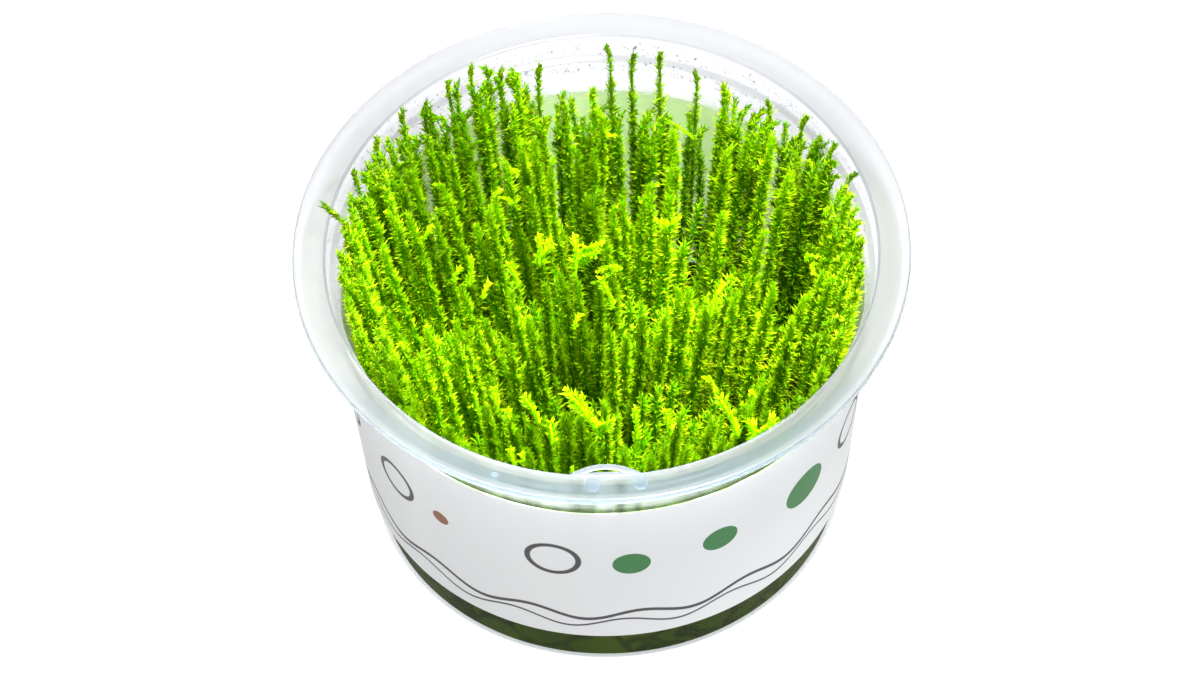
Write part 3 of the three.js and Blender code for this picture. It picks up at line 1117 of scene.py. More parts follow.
@dataclass(frozen=True)
class ShootForm:
    """Pattern of a leafy shoot that hangs down from its tip at the origin.

    Attributes:
        rows: Its rows of leaves.
        bud_length: Length at the tip where leaves close up into a bud.
        bud_reach: Share of their reach that leaves keep at the very tip.
        unevenness: How much single leaves differ.
        lean: How far they lean out of their place at the usual unevenness.
        swell: How much the shoot swells and narrows along its length, as a share.
        swell_turns: How often it does so, in radians a millimetre.
        tones: Brightness of a leaf's foot, and how much more its tip has, least and most: a painted
            shade at the foot and a painted highlight at the tip.
        tone_stray: How much the brightness of single leaves strays.
    """

    rows: tuple[LeafRow, ...]
    bud_length: float = 2.2
    bud_reach: float = 0.55
    unevenness: float = 0.22
    lean: float = 0.16
    swell: float = 0.16
    swell_turns: float = 1.35
    tones: Point = (0.1, 0.2, 1.2)
    tone_stray: float = 0.12

    def grow(self, rng: Random) -> list[LeafGroup]:
        """Set the leaves round the stem.

        Args:
            rng: The source of small differences between leaves.

        Returns:
            One group of leaves for each row.
        """
        return [self._grow_row(row, rng) for row in self.rows]

    def _grow_row(self, row: LeafRow, rng: Random) -> LeafGroup:
        """Spin copies of a leaf down the stem and vary each a little."""
        bm = row.blade.build()
        per_leaf = len(bm.verts)
        reach = np.array([vertex.co.x for vertex in bm.verts])
        blade = (reach - reach.min()) / (reach.max() - reach.min())
        bm.faces.ensure_lookup_table()
        bm.verts.index_update()
        triangles = np.array([[v.index for v in face.verts] for face in bm.faces])
        count = max(1, int((row.stop - row.start) / row.pitch))
        bmesh.ops.spin(
            bm, geom=bm.verts[:] + bm.edges[:] + bm.faces[:], cent=(0, 0, 0), axis=(0, 0, 1),
            dvec=(0, 0, -row.pitch), angle=math.radians(row.turn) * count, steps=count,
            use_duplicate=True,
        )
        points = np.array([vertex.co[:] for vertex in bm.verts]).reshape(-1, per_leaf, 3)
        bm.free()
        points[:, :, 2] -= row.start
        depth = row.start + row.pitch * np.arange(len(points))
        stray = np.radians(rng.normal(0, row.stray, len(points)))[:, None]
        x, y = points[:, :, 0].copy(), points[:, :, 1].copy()
        points[:, :, 0] = x * np.cos(stray) - y * np.sin(stray)
        points[:, :, 1] = x * np.sin(stray) + y * np.cos(stray)
        foot, least, most = self.tones
        # Painted shade at each leaf's foot and a painted highlight at its tip, with a random spread
        # from leaf to leaf
        shade = foot + blade[None] * rng.uniform(least, most, (len(points), 1))
        shade += rng.normal(0, self.tone_stray, (len(points), 1))
        return LeafGroup(self._varied(points, blade, depth, rng), triangles, shade, depth)

    def _varied(self, points: Array, blade: Array, depth: Array, rng: Random) -> Array:
        """Vary each leaf's size and lean, and close the leaves at the tip into a bud."""
        foot = points[:, np.argmin(blade)][:, None, :]
        arm = points - foot
        size = 1 + self.unevenness * rng.uniform(-1, 1, (len(points), 1, 1))
        closing = np.clip(depth / self.bud_length, 0, 1) ** 0.8
        reach = self.bud_reach + (1 - self.bud_reach) * closing
        waves = 1 + self.swell * np.sin(depth * self.swell_turns + rng.uniform(0, ANY_TURN))
        arm = arm * size
        arm[:, :, :2] *= (reach * waves)[:, None, None]
        usual = ShootForm.unevenness
        lean = rng.normal(0, self.lean * self.unevenness / usual, (len(points), 1, 3))
        arm = arm + lean * blade[None, :, None]
        return foot + arm


@dataclass(frozen=True)
class ShootPath:
    """Middle line of a shoot from its root to its tip.

    Attributes:
        root: Where it leaves the gel or its parent shoot.
        tip: Where it ends.
        sway: Sideways bow of its middle, in millimetres.
        hook: How far its tip is bent over sideways.
        hook_length: Length of the bent part.
        heading: Bearing of sway and hook in radians.
        bow: How the middle line is drawn out, as a share of its length, for a curved wall shoot.
        cross_sway: How far the line also bows across its sway, as a share of that.
        droop: How far a bent tip sinks, as a share of its hook.
    """

    root: Point
    tip: Point
    sway: float = 0.0
    hook: float = 0.0
    hook_length: float = 4.0
    heading: float = 0.0
    bow: Callable[[Array], Array] | None = None
    cross_sway: float = 0.4
    droop: float = 0.3

    def sample(self, count: int = 22) -> Frame:
        """Sample the line and a frame along it.

        Args:
            count: Number of samples.

        Returns:
            Shares of the length from root to tip, the points, and two sideways directions.
        """
        share = np.linspace(0, 1, count)
        root, tip = np.array(self.root), np.array(self.tip)
        length = float(np.linalg.norm(tip - root))
        line = root + (tip - root) * share[:, None]
        if self.bow is not None:
            line = line + self.bow(share)
        side = np.array([math.cos(self.heading), math.sin(self.heading), 0.0])
        cross = np.array([-side[1], side[0], 0.0])
        line += side * (self.sway * np.sin(math.pi * share))[:, None]
        line += cross * (self.cross_sway * self.sway * np.sin(2 * math.pi * share))[:, None]
        bent = np.clip((share - 1) * length / self.hook_length + 1, 0, 1) ** 2
        line += side * (self.hook * (bent - share))[:, None]
        line[:, 2] -= self.droop * abs(self.hook) * bent * bent
        tangent = np.gradient(line, axis=0)
        tangent /= np.linalg.norm(tangent, axis=1)[:, None]
        first = side - tangent * (tangent @ side)[:, None]
        first /= np.linalg.norm(first, axis=1)[:, None]
        return share, line, first, np.cross(tangent, first)


@dataclass(frozen=True)
class Sprig:
    """A young shoot in the stand's crown, whose middle line curls over in one plane.

    Attributes:
        root: Where it leaves its parent.
        heading: Bearing that it leans to, in degrees.
        rise: Its first angle above the level, in degrees.
        curl: How far it has turned down at its tip, in degrees.
        length: Its length.
        width: Its thickness as a share of the pattern's.
        roll: Turn of its leaf plane about the line, in degrees.
    """

    root: Point
    heading: float
    rise: float
    curl: float
    length: float
    width: float
    roll: float = 0.0

    def sample(self, count: int = 22) -> Frame:
        """Sample the line and a frame along it, as ShootPath does."""
        heading, roll = math.radians(self.heading), math.radians(self.roll)
        share = np.linspace(0, 1, count)
        angle = np.radians(self.rise - self.curl * share ** 1.6)
        out = np.array([math.cos(heading), math.sin(heading), 0.0])
        up = np.array([0.0, 0.0, 1.0])
        tangent = np.cos(angle)[:, None] * out + np.sin(angle)[:, None] * up
        step = self.length / (count - 1)
        line = np.array(self.root) + np.cumsum(tangent * step, axis=0) - tangent[0] * step
        side = np.cross(up, out)
        first = math.cos(roll) * side + math.sin(roll) * np.cross(tangent, side)
        return share, line, first, np.cross(tangent, first)


@dataclass
class Sheaf:
    """Shoots gathered into one mesh."""

    points: list[Array] = field(default_factory=list)
    triangles: list[Array] = field(default_factory=list)
    marks: list[Array] = field(default_factory=list)
    size: int = 0
    # Leaves keep a gap from the wall up to the height where they may reach past it
    wall: Wall = field(default_factory=Wall)
    open_above: float = 56.5
    wall_gap: float = 0.05
    bud_length: float = 2.4
    stem_sides: int = 5
    stem_rings: int = 9
    stem_tone: float = 0.15

    def add(
        self, leaves: list[LeafGroup], path: ShootPath | Sprig, width: float, tint: float,
        turn: float, stem_radius: float = 0.2, bud: float = 0.0,
    ) -> None:
        """Add one shoot along its path.

        Args:
            leaves: The pattern of its leaves.
            path: Its middle line.
            width: Its thickness as a share of the pattern's.
            tint: How dull it is, from 0 to 1.
            turn: Turn of the pattern about the stem in radians.
            stem_radius: Radius of the stem at the root.
            bud: How dark its tip is, from 0 to 1.
        """
        share, line, first, second = path.sample()
        steps = np.linalg.norm(np.diff(line, axis=0), axis=1)
        length = float(steps.sum())
        # The pattern's tip is drawn back by its own leaves' reach, a millimetre
        crown = width
        cos, sin = math.cos(turn), math.sin(turn)
        for group in leaves:
            keep = group.depth * width + crown < length
            points = group.points[keep]
            if not len(points):
                continue
            flat = points.reshape(-1, 3) * width
            x = flat[:, 0] * cos - flat[:, 1] * sin
            y = flat[:, 0] * sin + flat[:, 1] * cos
            at = 1 + (flat[:, 2] - crown) / length
            place = self._along(at, share, line, length)
            place += x[:, None] * self._between(at, share, first)
            place += y[:, None] * self._between(at, share, second)
            blade = group.blade[keep].ravel()
            count = np.arange(len(points))[:, None, None] * group.points.shape[1]
            faces = (group.triangles[None] + count).reshape(-1, 3)
            self._store(place, faces, at, blade, tint, bud * self._tip_share(at, length))
        self._add_stem(share, line, first, second, length, stem_radius * width, crown, tint)

    def _tip_share(self, at: Array, length: float) -> Array:
        """Give 1 at the tip, falling to 0 where the bud ends."""
        return np.clip(1 - (1 - at) * length / self.bud_length, 0, 1)

    def _between(self, at: Array, share: Array, values: Array) -> Array:
        """Interpolate vectors along the line."""
        return np.stack([np.interp(at, share, values[:, axis]) for axis in range(3)], axis=1)

    def _along(self, at: Array, share: Array, line: Array, length: float) -> Array:
        """Give points on the line, and past its tip in its last direction."""
        place = self._between(at, share, line)
        ahead = line[-1] - line[-2]
        ahead = ahead / np.linalg.norm(ahead)
        past = np.clip(at - 1, 0, None) * length
        return place + past[:, None] * ahead

    def _add_stem(
        self, share: Array, line: Array, first: Array, second: Array,
        length: float, radius: float, crown: float, tint: float,
    ) -> None:
        """Add the stem as a tapered tube."""
        bm = bmesh.new()
        bmesh.ops.create_cone(
            bm, cap_ends=True, segments=self.stem_sides, radius1=1.0, radius2=0.55, depth=1.0,
        )
        sides = [edge for edge in bm.edges if abs(edge.verts[0].co.z - edge.verts[1].co.z) > 0.5]
        bmesh.ops.subdivide_edges(bm, edges=sides, cuts=self.stem_rings - 1, use_grid_fill=False)
        bmesh.ops.triangulate(bm, faces=bm.faces)
        bm.verts.index_update()
        flat = np.array([vertex.co[:] for vertex in bm.verts])
        triangles = np.array([[v.index for v in face.verts] for face in bm.faces])
        bm.free()
        at = (flat[:, 2] + 0.5) * (1 - crown / length)
        place = self._between(at, share, line)
        place += flat[:, :1] * radius * self._between(at, share, first)
        place += flat[:, 1:2] * radius * self._between(at, share, second)
        self._store(place, triangles, at, np.full(len(at), self.stem_tone), tint, 0 * at)

    def _store(
        self, place: Array, triangles: Array, at: Array, blade: Array,
        tint: float, bud: Array,
    ) -> None:
        """Keep a part's arrays until the sheaf is finished."""
        self.points.append(place)
        self.triangles.append(triangles + self.size)
        self.marks.append(np.stack([np.full(len(at), tint), np.clip(at, 0, 1), blade, bud]))
        self.size += len(place)

    def _kept_inside(self, points: Array) -> Array:
        """Press the leaves that would pass through the cup's wall flat against it."""
        distance = np.maximum(np.hypot(points[:, 0], points[:, 1]), 1e-6)
        limit = self.wall.inner(np.minimum(points[:, 2], self.wall.top)) - self.wall_gap
        limit[points[:, 2] > self.open_above] = np.inf
        points[:, :2] *= np.minimum(1.0, limit / distance)[:, None]
        return points

    def finish(self, name: str, finish: Material) -> Object:
        """Join the shoots into one finished piece."""
        points = self._kept_inside(np.concatenate(self.points)) * MM
        triangles = np.concatenate(self.triangles)
        marks = np.concatenate(self.marks, axis=1)
        mesh = bpy.data.meshes.new(name)
        mesh.vertices.add(len(points))
        mesh.vertices.foreach_set("co", points.astype(np.float32).ravel())
        mesh.loops.add(len(triangles) * 3)
        mesh.loops.foreach_set("vertex_index", triangles.astype(np.int32).ravel())
        mesh.polygons.add(len(triangles))
        mesh.polygons.foreach_set("loop_start", np.arange(0, len(triangles) * 3, 3, dtype=np.int32))
        mesh.update(calc_edges=True)
        for key, values in zip(SHOOT_MARKS, marks):
            layer = mesh.attributes.new(key, "FLOAT", "POINT")
            layer.data.foreach_set("value", values.astype(np.float32))
        return linked_object(name, mesh, finish)


# Rows of leaves from a shoot's tip down. Slender shoots stand beside the wall, full ones elsewhere
EDGE_ROWS = (
    LeafRow(LeafBlade(0.75, 0.32, 58.0, True), 0.0, 1.8, 0.04),
    LeafRow(LeafBlade(0.8, 0.24, 52.0, False), 1.8, 5.0, 0.06, stray=20.0),
    LeafRow(LeafBlade(1.12, 0.24, 50.0, False), 5.0, 25.0, 0.036, stray=20.0),
    LeafRow(LeafBlade(1.25, 0.34, 42.0, False), 24.0, 46.0, 0.1),
)
MATURE_ROWS = (
    LeafRow(LeafBlade(1.02, 0.19, 48.0, False), 0.0, 27.0, 0.042, turn=181.9, stray=34.0),
    LeafRow(LeafBlade(0.88, 0.2, 55.0, False), 0.1, 27.0, 0.048),
    LeafRow(LeafBlade(1.25, 0.34, 42.0, False), 27.0, 44.0, 0.1),
)
UNDERGROWTH_ROWS = (
    LeafRow(LeafBlade(1.5, 0.4, 42.0, False), 0.0, 20.0, 0.16),
)
TALL_ROWS = (
    LeafRow(LeafBlade(0.8, 0.36, 58.0, True), 0.0, 2.2, 0.04),
    LeafRow(LeafBlade(0.85, 0.28, 50.0, False), 2.2, 9.0, 0.09, stray=20.0),
    LeafRow(LeafBlade(1.25, 0.28, 48.0, False), 9.0, 46.0, 0.07),
)
YOUNG_ROWS = (
    LeafRow(LeafBlade(1.0, 0.36, 44.0, True), 0.0, 12.0, 0.085, turn=177.0, stray=12.0),
    LeafRow(LeafBlade(0.8, 0.42, 60.0, True), 0.1, 12.0, 0.2, turn=97.0),
)


def tuft_name(number: int) -> str:
    """Give the CAD node of a tuft."""
    return f"moss_tuft_{number:02d}"


def shoot_name(number: int) -> str:
    """Give the CAD node of a tall shoot."""
    return f"moss_shoot_{number:02d}"


class StandPart(Enum):
    """The parts of the stand, each with its piece's name and its first and last tuft."""

    MIDDLE = ("moss_middle", 1, 7)
    INNER_BACK = ("moss_inner_back", 8, 13)
    INNER_FRONT = ("moss_inner_front", 14, 19)
    OUTER_BACK_RIGHT = ("moss_outer_back_right", 20, 24)
    OUTER_BACK_LEFT = ("moss_outer_back_left", 25, 28)
    OUTER_FRONT_LEFT = ("moss_outer_front_left", 29, 32)
    OUTER_FRONT_RIGHT = ("moss_outer_front_right", 33, 37)

    @property
    def piece(self) -> str:
        """Give the name of the part's piece."""
        return self.value[0]

    @property
    def tufts(self) -> range:
        """Give the numbers of the part's tufts."""
        return range(self.value[1], self.value[2] + 1)

    @classmethod
    def of_tuft(cls, number: int) -> "StandPart":
        """Give the part that a tuft belongs to."""
        return next(part for part in cls if number in part.tufts)


@dataclass
class MossStand:
    """The dense stand of upright shoots that fills the cup."""

    wall: Wall
    seed: int = 5
    # Height of the roots, and the share by which the stand widens over a height
    root_height: float = 9.8
    spread: float = 0.2
    spread_height: float = 46.0
    # Crown at the axis, and how it differs: at the sides, a millimetre to the right, to the back
    crown: float = 47.0
    side_rise: float = 9.0
    side_reach: float = 34.0
    tilt: float = 0.04
    back_fall: float = 0.12
    # Height and width of its swells, how much taller the tall shoots are, and the highest tip
    swell: Span = (2.5, 9.0)
    tall_lift: float = 2.5
    highest: float = 58.6
    # How far a tip strays in height and sideways, and the room that shoots keep from the wall
    tip_stray: Span = (2.2, 0.7)
    leaf_reach: float = 1.1
    # Taller clumps: bearing and rise, width in degrees, and distance where they have full height
    clumps: tuple[Span, ...] = ((116.0, 11.0), (146.0, 4.5), (48.0, 4.0), (26.0, 5.5))
    clump_width: float = 9.0
    clump_reach: float = 32.0
    # Rows from front to back: reach of the roots, their reach at the back, and the rows' pitch
    root_reach: float = 35.0
    row_reach_at_back: float = 31.0
    row_pitch: float = 1.9
    # Distance from one tall shoot to the next, and how far behind the row's end the first would be:
    # a mean, what that differs by over the stand, and what by from row to row
    step: Span = (19.0, 25.0)
    row_start: Point = (12.0, 16.0, 4.0)
    row_start_width: float = 8.0
    # Middling shoots: places in a step, and how much lower each is than the tall one before it
    middling_places: tuple[float, ...] = (0.24, 0.46, 0.7)
    middling_slope: float = 1.55
    middling_drop: float = 5.0
    middling_spacing: float = 1.6
    # How far tall and middling roots stray across their row
    row_stray: Span = (0.3, 0.4)
    # Behind this line the tallest points of the tufts carry a shoot each
    leaders_behind: float = 8.0
    # Roots along the wall: distances from the axis, bearings of the back part, and spacings
    wall_rings: tuple[float, ...] = (34.6, 32.3)
    wall_bearings: Span = (-28.0, 208.0)
    wall_spacing: float = 1.73
    front_spacing: float = 3.0
    ring_stray: float = 0.4
    spacing_shares: Span = (0.7, 1.3)
    # How near the middle the shoots rise, so that the stand fans out, and the wall's share in it
    gather: float = 0.86
    gather_beside: float = 0.75
    # Middles and half widths of places without tall shoots
    clearings: tuple[tuple[float, float, float, float], ...] = (
        (13.6, 22.0, 1.9, 14.0), (28.5, 23.0, 1.3, 2.5), (-31.5, -7.5, 2.2, 3.4),
        (-12.0, 25.0, 1.2, 5.0), (5.6, -14.0, 1.5, 12.0), (26.0, -16.0, 1.6, 6.0),
    )
    # How dull shoots are from 0 to 1, and how much rows and places differ, with their sizes
    mean_dullness: float = 0.41
    row_dullness: float = 0.7
    row_size: Span = (0.9, 30.0)
    place_dullness: float = 0.5
    place_size: float = 14.0
    dullness_stray: float = 0.14
    # Painted shade, duller a millimetre before a line at the front, and painted light, brighter a
    # millimetre off a middle by a half width
    painted_moss_front_shade: Span = (0.04, -14.0)
    painted_moss_side_light: Point = (0.008, -4.0, 8.0)
    # Painted light and shade: middle and reach of places with duller or brighter shoots, and how much
    # duller they are
    patches: tuple[tuple[float, float, float, float], ...] = (
        (-29.0, -3.0, 11.0, -0.8), (7.0, -10.0, 5.0, 0.7), (-19.0, 26.0, 6.0, 0.5),
        (32.0, 17.0, 5.0, 0.5), (26.0, -17.0, 5.5, 0.5), (-9.0, -17.0, 5.5, 0.6),
        (-23.0, 17.0, 5.0, 0.5), (18.0, 7.0, 8.0, -0.7), (24.0, -1.0, 7.0, -0.7),
        (-12.0, 29.0, 5.0, -0.6), (-6.0, 8.0, 5.0, 0.3), (12.0, 26.0, 5.0, -0.5),
        (2.0, -27.0, 6.0, 0.5), (-32.0, 14.0, 5.0, -0.3),
    )
    # Distances where the rings of tufts start and end, and tufts in the middle and in each ring
    ring_edges: tuple[float, ...] = (0.0, 4.8, 14.2, 23.6, 34.2)
    tufts_in_ring: tuple[int, ...] = (1, 6, 12, 18)
    # Full shoots: bends of the tip, its length, sway, and width as a share of the pattern's
    hooks: tuple[float, ...] = (0.0, 0.7, 1.6)
    hook_lengths: Span = (2.0, 4.0)
    sway: float = 0.4
    widths: Span = (1.25, 1.6)
    # Slender shoots beside the wall, behind a line: the same, with their turn off the outward way
    edge_front: float = -17.0
    edge_hooks: Span = (0.3, 1.8)
    edge_turn: float = 1.3
    edge_widths: Span = (1.05, 1.4)
    edge_dullness: float = 0.2
    edge_buds: Span = (0.6, 1.0)
    # What their bend gains at the back, and from which depth
    back_hook: Span = (0.9, 8.0)
    # Side shoots: share of shoots with one, what that gains beside the wall, length, and distance
    # from the tip, all in millimetres
    side_shoot_share: float = 0.3
    edge_side_shoots: float = 0.3
    side_lengths: Span = (2.5, 5.5)
    side_places: Span = (2.0, 12.0)
    # Short shoots: least distance from any other root, height, lean, and width
    undergrowth_spacing: float = 2.0
    low_heights: Span = (9.0, 22.0)
    low_lean: float = 1.0
    low_widths: Span = (0.9, 1.2)

    def __post_init__(self) -> None:
        """Grow the patterns that every shoot is taken from."""
        self.rng = np.random.default_rng(self.seed)
        form = ShootForm(MATURE_ROWS, bud_length=4.5, bud_reach=0.3)
        self.patterns = [form.grow(self.rng) for _ in range(8)]
        edge = ShootForm(EDGE_ROWS, bud_length=1.2, bud_reach=0.75, unevenness=0.3)
        self.edge_patterns = [edge.grow(self.rng) for _ in range(6)]
        low = ShootForm(UNDERGROWTH_ROWS, bud_length=3.0, bud_reach=0.4)
        self.low_patterns = [low.grow(self.rng) for _ in range(5)]

    def widening(self, height: float) -> float:
        """Give how much the stand has spread from the axis at a height."""
        return 1 + self.spread * (height - self.root_height) / self.spread_height

    def crown_height(self, x: float, y: float) -> float:
        """Give the crown's height above a root: taller at the sides, lower at the back."""
        sides = self.side_rise * (x / self.side_reach) ** 2
        return self.crown + sides - self.tilt * x - self.back_fall * max(0.0, y)

    def tuft_at(self, x: float, y: float) -> int:
        """Give the number of the tuft that a root belongs to."""
        distance = math.hypot(x, y)
        ring = min(3, int(np.searchsorted(self.ring_edges[1:], distance)))
        count = self.tufts_in_ring[ring]
        share = math.atan2(y, x) / (2 * math.pi) * count
        index = math.floor(share + 0.5 - 0.5 * (ring % 2)) % count
        return sum(self.tufts_in_ring[:ring]) + index + 1

    def leader_tips(self, node: Object) -> list[Point]:
        """Give the tips of the points of a tuft's CAD node, in millimetres."""
        bm = bmesh.new()
        bm.from_mesh(node.data)
        bmesh.ops.remove_doubles(bm, verts=bm.verts, dist=1e-6)
        tips = [
            tuple(vertex.co / MM) for vertex in bm.verts
            if all(edge.other_vert(vertex).co.z < vertex.co.z for edge in vertex.link_edges)
        ]
        bm.free()
        return tips

    def scatter(
        self, taken: list[tuple[float, float]], spacing: float
    ) -> list[tuple[float, float]]:
        """Scatter roots between those already taken, no two nearer than the spacing."""
        roots = np.array(taken)
        new = []
        for _ in range(20000):
            distance = self.root_reach * math.sqrt(self.rng.uniform())
            bearing = self.rng.uniform(0, 2 * math.pi)
            root = (distance * math.cos(bearing), distance * math.sin(bearing))
            if ((roots - root) ** 2).sum(axis=1).min() > spacing ** 2:
                roots = np.vstack([roots, root])
                new.append(root)
        return new

    def within_wall(self, x: float, y: float, height: float) -> tuple[float, float]:
        """Move a place in until its leaves clear the wall."""
        limit = self.wall.inner(height) - self.leaf_reach
        distance = math.hypot(x, y)
        factor = min(1.0, limit / distance) if distance > 0 else 1.0
        return x * factor, y * factor

    def is_clear(self, x: float, y: float) -> bool:
        """Tell whether a root lies in a clearing."""
        return any(
            ((x - middle_x) / half_x) ** 2 + ((y - middle_y) / half_y) ** 2 < 1
            for middle_x, middle_y, half_x, half_y in self.clearings
        )

    def rows(self) -> Iterable[tuple[tuple[float, float], float]]:
        """Give the roots row by row, and how far the shoot on each stays under the crown."""
        count = int(self.root_reach / self.row_pitch)
        for row in range(-count, count + 1):
            middle = row * self.row_pitch
            front = math.sqrt(max(0.0, self.root_reach ** 2 - middle ** 2))
            back = math.sqrt(max(0.0, self.row_reach_at_back ** 2 - middle ** 2))
            start, wander, stray = self.row_start
            y = back + start + wander * drift(middle / self.row_start_width, 0.0, 11.0)
            y += float(self.rng.uniform(-stray, stray))
            while y > -front:
                if y < back:
                    yield (middle + float(self.rng.normal(0, self.row_stray[0])), y), 0.0
                step = float(self.rng.uniform(*self.step))
                for share in self.middling_places:
                    behind = share * step
                    if -front < y - step + behind < back:
                        drop = float(self.rng.uniform(0, self.middling_drop))
                        stray = float(self.rng.normal(0, self.row_stray[1]))
                        between = middle + 0.5 * self.row_pitch + stray
                        yield (between, y - step + behind), self.middling_slope * behind + drop
                y -= step

    def along_wall(self) -> Iterable[tuple[float, float]]:
        """Give the roots along the wall: two rings at the sides and the back, one at the front."""
        first, last = (math.radians(bearing) for bearing in self.wall_bearings)
        ways = [(ring, first, last, self.wall_spacing) for ring in self.wall_rings]
        ways.append((self.wall_rings[0], last, first + 2 * math.pi, self.front_spacing))
        for ring, bearing, end, spacing in ways:
            while bearing < end:
                distance = ring + float(self.rng.normal(0, self.ring_stray))
                yield distance * math.cos(bearing), distance * math.sin(bearing)
                bearing += spacing * float(self.rng.uniform(*self.spacing_shares)) / ring

    def tip_above(self, x: float, y: float, drop: float) -> Point:
        """Give the tip of a shoot that stands on a root."""
        swell, size = self.swell
        height = self.crown_height(x, y) + swell * drift(x / size, y / size, 3.0) - drop
        if drop == 0.0:
            height += self.tall_lift + float(self.rng.normal(0, self.tip_stray[0]))
            outwards = min(1.0, math.hypot(x, y) / self.clump_reach)
            for bearing, rise in self.clumps:
                away = (math.degrees(math.atan2(y, x)) - bearing) / self.clump_width
                height += rise * math.exp(-away * away) * outwards
            height = min(height, self.highest)
        lean = self.rng.normal(0, self.tip_stray[1], 2)
        factor = self.widening(height)
        tip_x, tip_y = self.within_wall(x * factor + lean[0], y * factor + lean[1], height)
        return tip_x, tip_y, height

    def foot(self, x: float, y: float) -> tuple[float, float]:
        """Give where a shoot leaves the gel: gathered to the middle, but not beside the wall."""
        beside = min(1.0, math.hypot(x, y) / self.root_reach) ** 4
        return x * (self.gather + self.gather_beside * (1 - self.gather) * beside), y

    def dullness_and_painted_light(self, x: float, y: float) -> float:
        """Give how dull a shoot is: alike along a row, dull or bright by place at random, with
        painted shade at the front and painted light and shade in set places.
        """
        row = drift(x / self.row_pitch * self.row_size[0], y / self.row_size[1], 7.0)
        patch = drift(x / self.place_size, y / self.place_size, 9.0)
        value = self.mean_dullness + self.row_dullness * row + self.place_dullness * patch
        # Painted shade at the front, and painted light a little brighter towards both sides
        rise, line = self.painted_moss_front_shade
        fall, middle, half = self.painted_moss_side_light
        value += rise * max(0.0, line - y) - fall * max(0.0, abs(x - middle) - half)
        # Painted light and shade in set places
        for middle_x, middle_y, reach, duller in self.patches:
            away = math.hypot(x - middle_x, y - middle_y) / reach
            value += duller * math.exp(-away * away)
        return min(1.0, max(0.0, value + float(self.rng.normal(0, self.dullness_stray))))

    def build(self, nodes: dict[str, Object], finish: Material) -> dict[StandPart, Object]:
        """Grow every part of the stand.

        Args:
            nodes: The CAD nodes by name.
            finish: The mature leaf.

        Returns:
            The finished pieces by part.
        """
        sheaves = {part: Sheaf() for part in StandPart}
        roots = [(0.0, -100.0)]
        for number in range(1, sum(self.tufts_in_ring) + 1):
            tip = max(self.leader_tips(nodes[tuft_name(number)]), key=lambda place: place[2])
            factor = self.widening(tip[2])
            if tip[1] > self.leaders_behind and not self.is_clear(tip[0] / factor, tip[1] / factor):
                roots.append((tip[0] / factor, tip[1] / factor))
                self._plant(sheaves[StandPart.of_tuft(number)], roots[-1], tip)
        wall_roots = [(root, 0.0) for root in self.along_wall()]
        for root, drop in (*wall_roots, *self.rows()):
            if self.is_clear(*root):
                continue
            nearest = min(math.dist(root, other) for other in roots)
            if drop == 0.0 or nearest > self.middling_spacing:
                roots.append(root)
                sheaf = sheaves[StandPart.of_tuft(self.tuft_at(*root))]
                self._plant(sheaf, root, self.tip_above(*root, drop))
        for root in self.scatter(roots, self.undergrowth_spacing):
            self._plant_low(sheaves[StandPart.of_tuft(self.tuft_at(*root))], root)
        LOG.info("tall and middling shoots in the stand: %d", len(roots))
        return {part: sheaf.finish(part.piece, finish) for part, sheaf in sheaves.items()}

    def _plant(self, sheaf: Sheaf, root: tuple[float, float], tip: Point) -> None:
        """Plant one shoot, with a side shoot on some."""
        rng = self.rng
        is_edge = math.hypot(*root) > self.row_reach_at_back and root[1] > self.edge_front
        hook = float(rng.uniform(*self.edge_hooks) if is_edge else rng.choice(self.hooks))
        more, from_depth = self.back_hook
        hook += more * is_edge * (root[1] > from_depth)
        # Beside the wall a tip hooks outwards or along the wall, so that its shaft stays inside
        spread = self.edge_turn if is_edge else math.pi
        heading = math.atan2(root[1], root[0]) + float(rng.uniform(-spread, spread))
        path = ShootPath(
            (*self.foot(*root), self.root_height), tip,
            sway=float(rng.normal(0, self.sway)), hook=hook,
            hook_length=float(rng.uniform(*self.hook_lengths)), heading=heading,
        )
        width = float(rng.uniform(*(self.edge_widths if is_edge else self.widths)))
        tint = min(1.0, self.dullness_and_painted_light(*root) + self.edge_dullness * is_edge)
        kind = self.edge_patterns if is_edge else self.patterns
        pattern = kind[int(rng.integers(len(kind)))]
        bud = float(rng.uniform(*self.edge_buds)) if is_edge else 0.0
        sheaf.add(pattern, path, width, tint, float(rng.uniform(0, ANY_TURN)), bud=bud)
        if rng.uniform() < self.side_shoot_share + self.edge_side_shoots * is_edge:
            self._plant_side_shoot(sheaf, path, width, tint, pattern, bud)

    def _plant_low(self, sheaf: Sheaf, root: tuple[float, float]) -> None:
        """Plant one short shoot between the tall ones."""
        rng = self.rng
        height = self.root_height + float(rng.uniform(*self.low_heights))
        lean = rng.normal(0, self.low_lean, 2)
        factor = self.widening(height)
        x, y = self.within_wall(root[0] * factor + lean[0], root[1] * factor + lean[1], height)
        path = ShootPath(
            (*self.foot(*root), self.root_height), (x, y, height),
            heading=float(rng.uniform(0, ANY_TURN)),
        )
        pattern = self.low_patterns[int(rng.integers(len(self.low_patterns)))]
        width = float(rng.uniform(*self.low_widths))
        sheaf.add(pattern, path, width, self.dullness_and_painted_light(*root), float(rng.uniform(0, ANY_TURN)))

